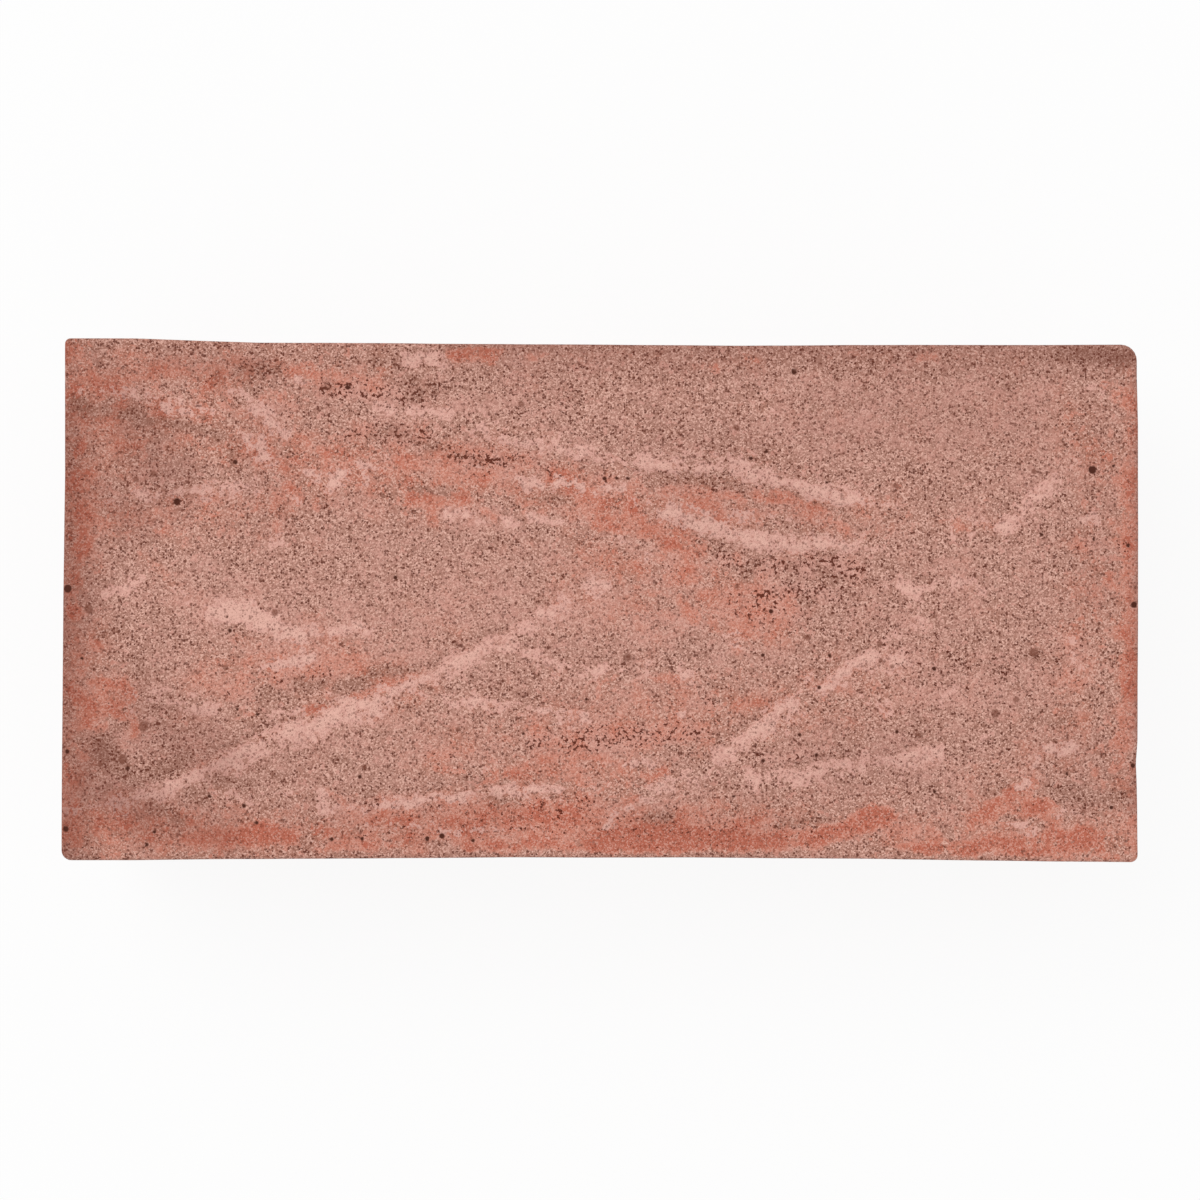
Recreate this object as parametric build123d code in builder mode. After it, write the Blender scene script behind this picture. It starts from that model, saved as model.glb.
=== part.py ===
"""A soft-mud clay brick, moulded and fired in one piece.

A clot of clay thrown into a sanded mould gives the form: the walls lean in a little towards the
moulded face, the long sides are drawn in by drying, no two corners are alike, and the moulded face
keeps shallow folds where the clay lapped over itself and didn't close up.

Millimetres, +Z up. The brick lies on its struck bed with the moulded face upwards, +X along its
length, and its origin in the middle of the struck bed.
"""

import os

from build123d import *

# Block, measured on the struck bed
LENGTH = 240.0
END_WIDTH = 115.8
WAIST_WIDTH = 114.2
HEIGHT = 71.0

# How far the outline departs from a true rectangle
END_SKEW = 0.9  # the right end sits this much nearer the front than the left end
LEFT_END_LEAN = 0.85  # the back of the left end stands this far inside its front
MOULD_DRAFT = 0.5  # degrees

# Corners, seen from above, and arrises
BACK_LEFT_RADIUS = 1.2
BACK_RIGHT_RADIUS = 3.6
FRONT_RIGHT_RADIUS = 1.6
FRONT_LEFT_RADIUS = 2.2
MOULDED_ARRIS_RADIUS = 1.0
STRUCK_ARRIS_RADIUS = 0.6

# Folds in the moulded face
FOLD_RADIUS = 3.2  # roundness of a fold's bed, across the fold
FOLD_RUN_OUT = 0.3  # how far past its ends a fold's line has risen clear of the face
DEEP_FOLD = 0.9
SHALLOW_FOLD = 0.6

# Each fold runs through three points, as shares of the half length and the half width
FOLDS = {
    "left_diagonal": ((-0.93, -0.80), (-0.58, -0.50), (-0.28, -0.24), DEEP_FOLD),
    "right_diagonal": ((0.07, -0.79), (0.31, -0.47), (0.53, -0.17), DEEP_FOLD),
    "right_branch": ((0.17, -0.69), (0.41, -0.64), (0.65, -0.55), SHALLOW_FOLD),
    "front_lap": ((-0.45, -0.78), (-0.27, -0.70), (-0.06, -0.61), SHALLOW_FOLD),
    "middle_lap": ((0.05, 0.40), (0.27, 0.24), (0.51, 0.18), DEEP_FOLD),
    "back_lap": ((-0.22, 0.66), (0.00, 0.55), (0.23, 0.52), SHALLOW_FOLD),
    "back_lap_tail": ((0.19, 0.51), (0.37, 0.41), (0.55, 0.36), DEEP_FOLD),
    "right_hook": ((0.61, 0.33), (0.76, 0.32), (0.88, 0.45), SHALLOW_FOLD),
    "left_crease": ((-0.91, 0.38), (-0.76, 0.39), (-0.58, 0.44), SHALLOW_FOLD),
}


def on_face(share):
    """A point in plan from its shares of the half length and the half width."""
    along, across = share
    return along * LENGTH / 2, across * END_WIDTH / 2


os.makedirs("parts", exist_ok=True)

# Plan of the struck bed: straight ends, and long sides that are hollow at the waist
back_left = (-LENGTH / 2 + LEFT_END_LEAN, (END_WIDTH + END_SKEW) / 2)
back_right = (LENGTH / 2, (END_WIDTH - END_SKEW) / 2)
front_right = (LENGTH / 2, -(END_WIDTH + END_SKEW) / 2)
front_left = (-LENGTH / 2, -(END_WIDTH - END_SKEW) / 2)
back_waist = (0, WAIST_WIDTH / 2)
front_waist = (0, -WAIST_WIDTH / 2)

corner_radii = {
    back_left: BACK_LEFT_RADIUS,
    back_right: BACK_RIGHT_RADIUS,
    front_right: FRONT_RIGHT_RADIUS,
    front_left: FRONT_LEFT_RADIUS,
}

with BuildPart() as brick:
    with BuildSketch() as plan:
        with BuildLine():
            ThreePointArc(front_left, front_waist, front_right)
            Line(front_right, back_right)
            ThreePointArc(back_right, back_waist, back_left)
            Line(back_left, front_left)
        make_face()
        for corner, radius in corner_radii.items():
            fillet(plan.vertices().sort_by_distance(corner)[0], radius)
    extrude(amount=HEIGHT, taper=MOULD_DRAFT)

    # Rounded arrises: soft round the moulded face, tighter round the struck bed
    fillet(brick.faces().sort_by(Axis.Z)[-1].edges(), MOULDED_ARRIS_RADIUS)
    fillet(brick.faces().sort_by(Axis.Z)[0].edges(), STRUCK_ARRIS_RADIUS)

    # Folds: a round bed along an arc that dips below the face and rises clear of it at both ends
    for start, middle, end, depth in FOLDS.values():
        bed_height = HEIGHT + FOLD_RADIUS - depth
        end_height = HEIGHT + FOLD_RADIUS + FOLD_RUN_OUT
        with BuildLine() as fold:
            ThreePointArc(
                (*on_face(start), end_height),
                (*on_face(middle), bed_height),
                (*on_face(end), end_height),
            )
        with BuildSketch(Plane(origin=fold.line @ 0, z_dir=fold.line % 0)):
            Circle(FOLD_RADIUS)
        sweep(path=fold.line, mode=Mode.SUBTRACT)

brick.part.label = "brick"
export_step(brick.part, "parts/brick.step")
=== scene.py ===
"""Soft-mud clay brick: the fired piece with its folds, sand, bare clay and pits, on a white studio floor.

Metres, +Z up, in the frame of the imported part: the brick lies on its struck bed, +X along its length.
Marks on the moulded face are placed in millimetres from the middle of that face.
"""

import math

import bpy
import numpy as np
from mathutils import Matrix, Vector, noise


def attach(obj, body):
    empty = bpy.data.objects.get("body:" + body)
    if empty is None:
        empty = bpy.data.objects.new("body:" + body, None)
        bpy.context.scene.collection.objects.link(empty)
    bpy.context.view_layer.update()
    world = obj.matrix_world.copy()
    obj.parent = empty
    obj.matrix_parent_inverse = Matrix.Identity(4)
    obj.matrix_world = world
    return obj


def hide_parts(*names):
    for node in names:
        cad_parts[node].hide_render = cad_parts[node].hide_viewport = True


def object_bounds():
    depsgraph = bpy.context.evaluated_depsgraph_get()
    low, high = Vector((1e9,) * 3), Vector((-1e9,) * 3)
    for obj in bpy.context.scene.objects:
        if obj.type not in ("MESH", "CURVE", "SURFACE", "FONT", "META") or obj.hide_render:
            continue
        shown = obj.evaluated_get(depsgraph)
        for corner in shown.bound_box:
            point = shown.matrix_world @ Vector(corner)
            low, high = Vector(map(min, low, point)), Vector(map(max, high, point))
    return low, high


bl_info = {
    "name": "Soft-mud clay brick",
    "version": (1, 0, 0),
    "blender": (4, 5, 0),
    "location": "3D View > Sidebar > Brick",
    "description": "Moulds a sanded clay brick with folds, bare clay and pits, and sets its studio",
    "category": "Object",
}

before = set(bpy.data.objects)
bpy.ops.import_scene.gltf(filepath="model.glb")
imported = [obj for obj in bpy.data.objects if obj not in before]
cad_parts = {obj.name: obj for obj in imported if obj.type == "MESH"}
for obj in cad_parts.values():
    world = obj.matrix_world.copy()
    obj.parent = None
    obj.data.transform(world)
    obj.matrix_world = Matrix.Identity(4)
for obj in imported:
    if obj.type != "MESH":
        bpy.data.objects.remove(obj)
CAD_LOW, CAD_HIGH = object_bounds()

MM = 0.001
NODE = "brick"
BODY = "root"

# Edges of the moulded face, in millimetres from its middle: the long ones as (x, y), the ends as (y, x)
BACK_EDGE = (
    (-118, 58), (-104, 58), (-86, 57.4), (-77, 57.1), (-45, 56.9),
    (0, 56.6), (30, 56.4), (55, 56.5), (119, 56.6),
)
FRONT_EDGE = (
    (-119, -57.7), (-105, -57.7), (-86, -57.5), (-51, -57.3), (-20, -57.1),
    (20, -57.1), (38, -57.3), (64, -57.4), (82, -57.7), (100, -58), (119, -58.1),
)
LEFT_END = ((-58, -119.4), (-50, -119.4), (-35, -119.3), (0, -119), (27, -118.6), (58, -118.6))
RIGHT_END = (
    (-58, 119.2), (-40, 119), (-36, 118.8), (-31, 119.2), (13, 119.3), (40, 119.3), (51, 119), (57, 119),
)

# Marks on the moulded face are lines of (x, y, half width) points.
# Folds: the side on which the lap lies open (1 for the back, -1 for the front), how clean its lip is, and
# its line from left to right
FOLDS = {
    "left diagonal foot": (1, 0.65, (
        (-112, -45.2, 0.8), (-106, -44.2, 1), (-100, -42.6, 1.1), (-95, -41, 1.2), (-90, -39, 1.3),
        (-86, -36.8, 1.4),
    )),
    "left diagonal": (1, 0.95, (
        (-88, -37.6, 1.2), (-84, -35.6, 1.5), (-80, -34, 1.5), (-74, -31.2, 1.4), (-70, -29.6, 1.4),
        (-65, -28, 1.6), (-60, -26, 1.7), (-56, -24.3, 1.8), (-50, -22.6, 1.8), (-46, -20.6, 1.7),
        (-42, -18.6, 1.4), (-38, -17, 1.1),
    )),
    "left diagonal head": (1, 0.8, (
        (-40, -17.6, 1), (-35, -15.6, 0.9), (-30, -12.4, 1.1), (-26, -10.6, 1.2), (-21, -9.4, 1.3),
        (-18, -7, 1.2), (-15, -4.2, 1), (-10, -1.4, 1), (-4, 0.8, 1),
    )),
    "right diagonal foot": (1, 0.6, (
        (8, -44.6, 0.9), (11, -42.4, 1.1), (13.5, -40.4, 1.3), (17, -38.9, 1), (20, -37.7, 0.8),
        (24, -36.2, 0.9),
    )),
    "right diagonal": (1, 0.95, (
        (23, -36.6, 0.7), (28, -33.4, 1.1), (31, -31.4, 1.1), (35, -28.4, 1.2), (37.5, -26, 1.4),
        (40, -24.8, 1.6), (42, -22.8, 1.6), (43.6, -20.4, 1.2),
    )),
    "right diagonal head": (1, 0.85, (
        (46, -19.8, 0.7), (49.5, -19.4, 0.7), (52.5, -16.8, 1.2), (56, -14.5, 1.3), (59, -13.2, 1.2),
        (62, -11, 0.7),
    )),
    "right branch": (1, 0.9, (
        (30, -38.6, 0.6), (33, -39.1, 0.8), (38, -38.8, 0.8), (43, -38.4, 0.9), (48, -37.3, 0.9),
        (53, -36.3, 0.8),
        (60, -36.2, 0.7),
    )),
    "right branch head": (1, 0.85, (
        (61, -34.6, 0.8), (66, -35.6, 0.8), (70, -33.5, 1.1), (73.5, -33, 1.2), (77.5, -32.5, 0.9),
    )),
    "front lap": (1, 0.65, (
        (-53, -45.2, 0.6), (-46, -44.3, 0.8), (-40, -43.9, 0.8), (-34, -43.1, 0.9), (-28, -42.8, 0.9),
        (-22, -42.1, 0.9), (-12, -41.9, 0.8), (-3, -41.4, 0.5),
    )),
    "middle lap": (-1, 0.95, (
        (5, 21.3, 0.5), (10, 20, 0.8), (15, 18.5, 1), (20, 16.8, 1.2), (25, 15.1, 1.4), (30, 13.8, 1.6),
        (34, 12.8, 1.6), (39, 12.1, 1.2), (44, 12, 0.9), (50, 12.1, 1.2), (55, 11.5, 1.2), (60, 10.9, 0.6),
    )),
    "back lap": (-1, 0.65, (
        (-31, 38.3, 0.7), (-26, 37.1, 1), (-22, 36.2, 1), (-16, 35, 1), (-8, 33, 1), (0, 31.3, 1),
        (4, 30.4, 0.8),
    )),
    "back lap tail": (-1, 0.9, (
        (2, 30.8, 0.7), (8, 29.8, 1), (13, 29.2, 1.1), (20, 28.9, 1), (28, 29, 1.1), (31, 28, 1.1),
        (35, 26.8, 1.1), (39, 26, 0.8), (44, 25, 0.9), (47, 23.7, 1.1), (52, 22.5, 1.2), (58, 21.5, 1),
        (63, 20.7, 0.5),
    )),
    "right hook": (1, 0.9, (
        (87, 16.4, 0.9), (89.5, 17.4, 1.2), (92, 19.8, 0.9), (94.5, 21.8, 1.2), (97, 23.3, 1.3),
        (99, 25, 1.1),
        (101.5, 27.4, 0.6),
    )),
    "left crease": (-1, 0.65, (
        (-105, 21.8, 0.7), (-98, 23, 1), (-92, 23.6, 1), (-87, 23.6, 1), (-80, 24.5, 1), (-74, 24, 0.7),
    )),
    "left shelf": (-1, 0.8, (
        (-102, -22, 0.7), (-98, -22.6, 1.1), (-92, -23.4, 1.1), (-88, -24.1, 1), (-83, -25.2, 0.7),
    )),
    "centre tuck": (-1, 0.85, (
        (-21, 27.1, 0.5), (-17, 26.1, 1), (-13, 25.4, 1), (-7, 25, 0.7), (-2, 24.6, 0.5),
    )),
    "lower branch": (1, 0.7, (
        (-38, -21.2, 0.6), (-33, -21.9, 1.1), (-26, -22, 1), (-19, -23.1, 0.6), (-12, -24.1, 0.8),
        (-5, -25, 0.8), (1, -25.9, 0.6),
    )),
    "arch": (1, 0.65, (
        (-19, -10.6, 0.7), (-14, -12, 0.9), (-8, -13.9, 0.8), (0, -15.4, 0.7), (8, -15.4, 0.6),
    )),
    "upper left curve": (-1, 0.6, (
        (-108, 45.2, 0.8), (-100, 44, 1), (-94, 42.7, 1.1), (-88, 41.5, 1), (-84, 40, 0.8),
    )),
    "upper left ridge": (-1, 0.7, (
        (-82.5, 47.2, 0.6), (-78, 44, 1), (-75, 41.4, 1), (-72, 38, 1), (-68.5, 34.8, 0.7),
    )),
    "upper left return": (-1, 0.7, (
        (-80.5, 37.4, 0.8), (-77, 34, 1.2), (-74, 30.4, 1.1), (-72, 28, 0.6),
    )),
}

# Red clay bare of sand, by how red it is
RED_CLAY = {
    1.0: (
        ((-2, -53.4, 2.4), (5, -53, 3), (10, -52.5, 3.4), (17, -52.2, 3.6), (22, -52.9, 3),
         (28, -53.3, 2.6),
         (34, -53.5, 2.4), (40, -53.2, 2.4), (46, -52.6, 2)),
    ),
    0.85: (
        ((46, -52.6, 2), (52, -51.8, 2.1), (56, -50.2, 2.4), (60, -48.3, 2.9), (63, -47.7, 2.5),
         (64.3, -48.2, 1.5)),
        ((-16, -53.8, 1.6), (-8, -53.6, 2), (-2, -53.4, 2.4)),
        ((-80, -52.4, 2), (-74, -51.6, 2.4), (-68, -52.4, 1.8), (-66.5, -52.6, 1.2)),
        ((67.5, -55.2, 1), (73, -54.4, 1.8), (80, -54.6, 1.8), (86, -54.4, 2)),
        ((96, -54.2, 2.6), (104, -53.6, 2.8), (109, -54, 2.2), (112, -56.4, 1)),
        ((106, -51.4, 1.4), (109, -51.2, 1.2)),
    ),
    0.75: (
        ((-113, 20.5, 1.2), (-113.2, 17, 1.6), (-113.6, 14, 2.3), (-114, 11.5, 2.2), (-115.2, 9, 1.2)),
        ((-43.4, 22.2, 1.3), (-40, 22.2, 1.8), (-36.8, 21.2, 1.6), (-33, 22.2, 1.2), (-29, 22, 0.8)),
        ((-37.4, 20, 1.2), (-36.9, 17.4, 1.1)),
        ((-33, 54.8, 1.2), (-28.5, 54.2, 1.9), (-24, 54.2, 1.7), (-21.5, 54.6, 0.8)),
        ((28, 23, 1), (33, 23, 1.3), (38, 22.8, 1.6), (42, 22.2, 1.3), (46, 21.2, 0.8)),
        ((-92, -52.6, 1.6), (-86, -52.8, 1.9), (-80, -52.4, 2)),
        ((-30, -54.6, 1.2), (-23, -54.6, 1.4), (-16, -53.8, 1.6)),
        ((86, -54.4, 2), (96, -54.2, 2.6)),
    ),
    0.65: (
        ((-69.4, 50.6, 1.2), (-66, 51, 1.7), (-61, 50.4, 1.6), (-57.5, 50, 0.9)),
        ((-115, -16.5, 1.5), (-111, -18.5, 2.4), (-106.5, -20, 2.4), (-104, -21.5, 1.6)),
        ((-113.5, -21.5, 2.4), (-109.5, -22.5, 3.6), (-106, -24, 2.4)),
        ((-113.5, -26.5, 2), (-110, -28, 1.8)),
        ((-116.8, 1, 1.3), (-116.4, -3, 1.5)),
        ((-62, -55, 1.2), (-57, -54.6, 1.5), (-50, -54.4, 1.4), (-46, -54.2, 1)),
        ((-28, -47.8, 1.4), (-24, -47.6, 1.8), (-20, -46, 2), (-15.5, -47.4, 2), (-9, -47.8, 2.2),
         (-3, -46.8, 2), (1, -47.5, 1.5)),
        ((117.4, 31, 1.4), (117, 26, 2), (117, 21, 2.2), (117.2, 15, 2), (117.2, 10, 1.8), (117, 6, 1.6)),
        ((117.6, -3, 1.4), (117.2, -10, 1.9), (117, -16, 2), (117, -22, 1.9)),
        ((17.5, 0, 1.2), (20.2, -2.5, 1.4), (20.8, -4.2, 1.3)),
        ((19, 20.5, 1.5), (22.5, 20.5, 2.2), (26, 21.5, 1.4)),
    ),
    0.55: (
        ((2, 17.5, 2.6), (8, 17, 2.8), (13, 15.5, 3.2), (18, 13.2, 3.2), (22.5, 11.3, 2.2)),
        ((14, 10, 1.6), (14, 7.2, 1.2)),
        ((-56, -22.3, 1), (-52, -20.6, 1.4), (-47, -18.8, 1.4), (-43, -17.2, 1.1), (-41, -16.4, 0.7)),
        ((-66, -24.2, 1.2), (-60.5, -24.2, 1.3)),
        ((-16.5, -36.6, 1), (-10, -35.2, 1.2), (-3, -34.8, 1.2), (3.5, -35.6, 1)),
        ((-27, -41.3, 0.8), (-22.5, -39.8, 1.2), (-18, -38, 1.1)),
        ((-103.6, -25.5, 1), (-103.3, -30, 1)),
        ((-24, -51, 1.6), (-12, -50.6, 2.4), (-2, -50.4, 2.4)),
        ((116.6, -24, 2), (115.6, -29.5, 2.4), (116.4, -33, 2), (114, -36.8, 1.8)),
        ((118, -48.5, 1.2), (118, -53, 1.2)),
        ((83, -49.5, 1.6), (88, -46, 3), (92, -43.5, 3.2), (95.5, -41, 2.2)),
        ((93, -46, 2.6), (98, -46, 3), (101, -49, 2.4)),
        ((72, -50.4, 1.4), (75, -51.6, 1.6)),
        ((100, -57, 0.8), (108, -57, 0.9), (115.5, -56.8, 0.8)),
    ),
    0.45: (
        ((-114.8, 39, 1.2), (-114.6, 34, 1.3), (-114.5, 30.5, 0.9)),
        ((-82.6, 33.8, 1), (-81.6, 33.2, 1)),
        ((-72.5, 22.5, 1.4), (-69, 25, 1.9), (-65.5, 23, 2), (-63, 20.8, 1.4)),
        ((-54.5, 50, 1.2), (-53.5, 49.8, 1.2)),
        ((-50.5, 51, 0.8), (-46, 51.2, 0.8)),
        ((-25.5, 19.8, 1.1), (-23, 18.2, 1.3)),
        ((-18, 21.2, 1), (-15.4, 21.4, 1.1)),
        ((-16.4, 19.2, 1.2), (-15.8, 17.8, 1)),
        ((-15.5, 54, 1.1), (-11, 54, 1)),
        ((-10, 27.5, 2.2), (-5.5, 24.8, 3), (-1.5, 21.5, 3.2), (0, 16.5, 2.2)),
        ((-48.4, 33.2, 1.2), (-46, 31, 1.5), (-40, 30.2, 1.9), (-33, 28.4, 1.6)),
        ((47.5, 20, 1), (50.5, 18.3, 2), (54.5, 15.8, 1.6)),
        ((75.5, 17.4, 1), (79, 16.4, 1.8), (82, 15.6, 1)),
        ((30.5, 10.2, 1), (31, 8, 1.2)),
        ((111.5, 48, 1.4), (114, 46.2, 1.9), (116.4, 43.2, 1.6), (117.6, 41, 0.9)),
        ((113, 4.6, 2.2), (116, 3.5, 2.2)),
        ((-78.8, -17, 1.9), (-78.5, -14, 1.6), (-77.2, -19.6, 1.2)),
        ((-97.5, 15.6, 1.6), (-95.5, 16.2, 1.2)),
        ((-117, -33, 1.5), (-114, -34.6, 1.4)),
        ((-117.3, -40, 1.6), (-116.6, -46, 2), (-116.4, -52, 2.2), (-115.4, -56, 1.2)),
        ((-106.2, -32.8, 0.9), (-105.4, -32.2, 0.9)),
        ((-91.8, -37.3, 0.6), (-90, -36.8, 0.9)),
        ((-60, -42, 1), (-57.5, -45, 1.2), (-54, -48.3, 1.6), (-50, -49, 1.4)),
        ((-35.5, -37.6, 1.4), (-31.5, -37.2, 1.9), (-28.5, -38.2, 1.2)),
        ((-10, -39.4, 1.4), (-3, -39.4, 1.6)),
        ((10.5, -39.6, 1.5), (14.5, -38, 1.7)),
        ((4, -45.6, 1.4), (8.5, -43.6, 1.5)),
        ((30, -9.5, 1.6), (30.3, -11.5, 0.9)),
        ((12.5, -17.6, 1.2), (17, -17.4, 1.2), (21, -16.8, 1.6)),
        ((109, -36.5, 1.3), (111.5, -41.5, 1.2)),
        ((101, -32.6, 1.2), (102.6, -32.2, 1.3)),
        ((70, 54.2, 1.1), (74, 53.9, 1.2)),
        ((22, 51.6, 1.4), (25.5, 51.4, 1.5)),
    ),
    0.33: (
        ((24, -3, 2.6), (30, -5.5, 4), (37, -5, 4.2), (42.5, -2, 2.6)),
        ((-115.4, 52, 1.2), (-114.2, 48, 1.2), (-111.5, 45.8, 1.2)),
        ((-110, 40.5, 2.4), (-105.5, 43.4, 2.2)),
        ((-106, 54.2, 0.8), (-102, 54, 0.8)),
        ((-94.4, 51.6, 1.2), (-93, 50.2, 1.4)),
        ((-90, 53, 1.6), (-88, 49.5, 1.8), (-87.5, 45.5, 2)),
        ((-93, 45.6, 1), (-89, 45.4, 1.2)),
        ((-100, 43.5, 1.2), (-96, 42.2, 1.2)),
        ((-90, 38.4, 0.9), (-85.2, 36.2, 1.1)),
        ((-112.5, 27.2, 0.9), (-108.8, 26.6, 1)),
        ((-101, 29, 0.9), (-101, 25.4, 0.9)),
        ((-109.5, 20.8, 1.6), (-104, 22, 1.5), (-97, 23, 1.4), (-88.5, 22.4, 1.7)),
        ((-110.5, 17, 2.4), (-108.5, 13.5, 2)),
        ((-102, 11, 1), (-98, 7.6, 1.3), (-94.6, 3.4, 1.1), (-91.5, 0.4, 0.8)),
        ((-72.5, 17, 1.5), (-71, 13.6, 1.3)),
        ((-72.5, 31.6, 1.5), (-66.5, 31, 1.5)),
        ((-62, 33.5, 1.8), (-59.5, 30.2, 2), (-60, 26, 1)),
        ((-75.5, 45, 1.6), (-71, 45, 2)),
        ((-67.5, 47.8, 1.6), (-62, 48, 1.4)),
        ((-43.5, 50, 0.8), (-41, 48.4, 0.8), (-37.5, 46.2, 0.7)),
        ((-8, 54.2, 0.8), (-4, 54, 0.8), (4, 54.6, 0.8), (8, 53.6, 0.7)),
        ((11.5, 53.8, 0.9), (12.8, 53.6, 0.9)),
        ((32, 53.6, 1), (35, 53.2, 1)),
        ((50, 54.6, 0.8), (58, 54.8, 0.8), (64, 54.4, 0.8)),
        ((76, 53.8, 0.9), (88, 53.4, 0.8), (95, 53.6, 0.6)),
        ((7, 24.2, 1.3), (12.5, 24, 1.3)),
        ((10.5, 27.4, 0.9), (15.5, 26.8, 1)),
        ((17.4, 26, 0.8), (17.8, 24, 0.8)),
        ((33, 20.2, 0.8), (33, 15.6, 1)),
        ((60, 19.4, 0.9), (62.5, 18.2, 1)),
        ((64.5, 19.6, 0.7), (67, 19.4, 0.8), (70, 18.2, 0.8), (75, 17.4, 0.7)),
        ((82, 16.4, 0.9), (91, 15.6, 0.7)),
        ((65, 25.6, 1.3), (67, 25, 1)),
        ((84, 21.8, 0.8), (84.8, 21.4, 0.8)),
        ((31.5, 33, 0.8), (34, 31.6, 0.9), (37.5, 30, 0.9)),
        ((40, 11, 1.5), (45, 10.8, 1.6)),
        ((35.5, 6.6, 1.2), (36.5, 5.4, 1.2)),
        ((24, 2, 1.4), (29, 2, 1.6)),
        ((40.5, 1.4, 1.2), (44, 0.8, 1.2)),
        ((10, 2, 1.6), (16, 1, 1.6)),
        ((1, 4, 1.5), (6, 3.6, 1.2)),
        ((107.5, 17.5, 1.6), (113, 17.8, 2)),
        ((113, 37.4, 1.2), (117, 35, 1.2)),
        ((113.5, 28.5, 1.5), (114.5, 24, 1.5)),
        ((-113.2, -5, 1.2), (-112, -5.6, 0.8)),
        ((-116.5, -12, 1.1), (-115.4, -8, 1)),
        ((-116.5, -12, 1.1), (-116.2, -15, 1.2)),
        ((-113, -43.4, 1.1), (-111.8, -44, 0.9)),
        ((-112, -51.5, 2.4), (-106, -53, 1.9), (-102.5, -52.5, 1)),
        ((-100.6, -56.6, 0.6), (-95.5, -56.4, 0.6)),
        ((-96.5, -50.8, 1.3), (-92, -51.8, 1.5)),
        ((-88.5, -46.5, 1.6), (-84.5, -46, 2), (-81.5, -48.5, 1.2)),
        ((-80, -25, 1.4), (-75.5, -25.4, 1.6)),
        ((-94.5, -27, 0.9), (-88, -27, 0.9)),
        ((-93, -40, 1), (-89, -37.6, 1.4), (-84, -34.6, 1.4), (-78, -31.8, 1.4), (-71, -29, 1.4),
         (-65, -26.6, 1.5)),
        ((-36.8, -19.8, 0.9), (-35.2, -19.2, 0.9)),
        ((-35.5, -5.2, 0.8), (-32.5, -7.5, 1), (-30, -9.4, 0.9)),
        ((-70.5, -43, 1), (-65, -42.8, 1)),
        ((-47.5, -47.2, 1.3), (-43, -46.6, 1.3)),
        ((-44, -55.2, 0.8), (-37, -54.2, 1.1), (-30, -54.8, 1)),
        ((-25, -38.5, 1.8), (-16, -38.8, 1.8), (-4, -37, 1.5)),
        ((80, -42.2, 0.9), (85, -42.2, 0.9)),
        ((107, -20.6, 0.9), (110, -21.6, 0.9)),
        ((109.5, -4.6, 1), (112, -6, 1.2)),
        ((111.5, -28.2, 1.3), (113.5, -29.4, 1.4)),
        ((111, -33.6, 2), (113.5, -33, 2)),
        ((-73, -13.5, 2.2), (-66, -14.5, 2.4), (-58, -14, 2.2), (-50, -11.8, 1.2)),
    ),
    0.2: (
        ((-72.5, 37.2, 1.2), (-66.5, 36.8, 1.2)),
        ((-57, 36, 0.7), (-51.5, 38, 0.7)),
        ((-53.2, 44.5, 0.8), (-53, 47, 0.8)),
        ((-27, 31.5, 2.2), (-19, 29.5, 2.2)),
        ((-13.5, 47.8, 1), (-12, 46.4, 1)),
        ((-15.8, 12.4, 1.2), (-14, 11.4, 1)),
        ((-21, 12, 1.6), (-19, 12, 1.6)),
        ((36.6, 42, 0.8), (37, 45, 0.8)),
        ((106, 35, 2), (110, 35, 2)),
        ((-97, 33.2, 1), (-96, 32.6, 1)),
    ),
}

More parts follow.
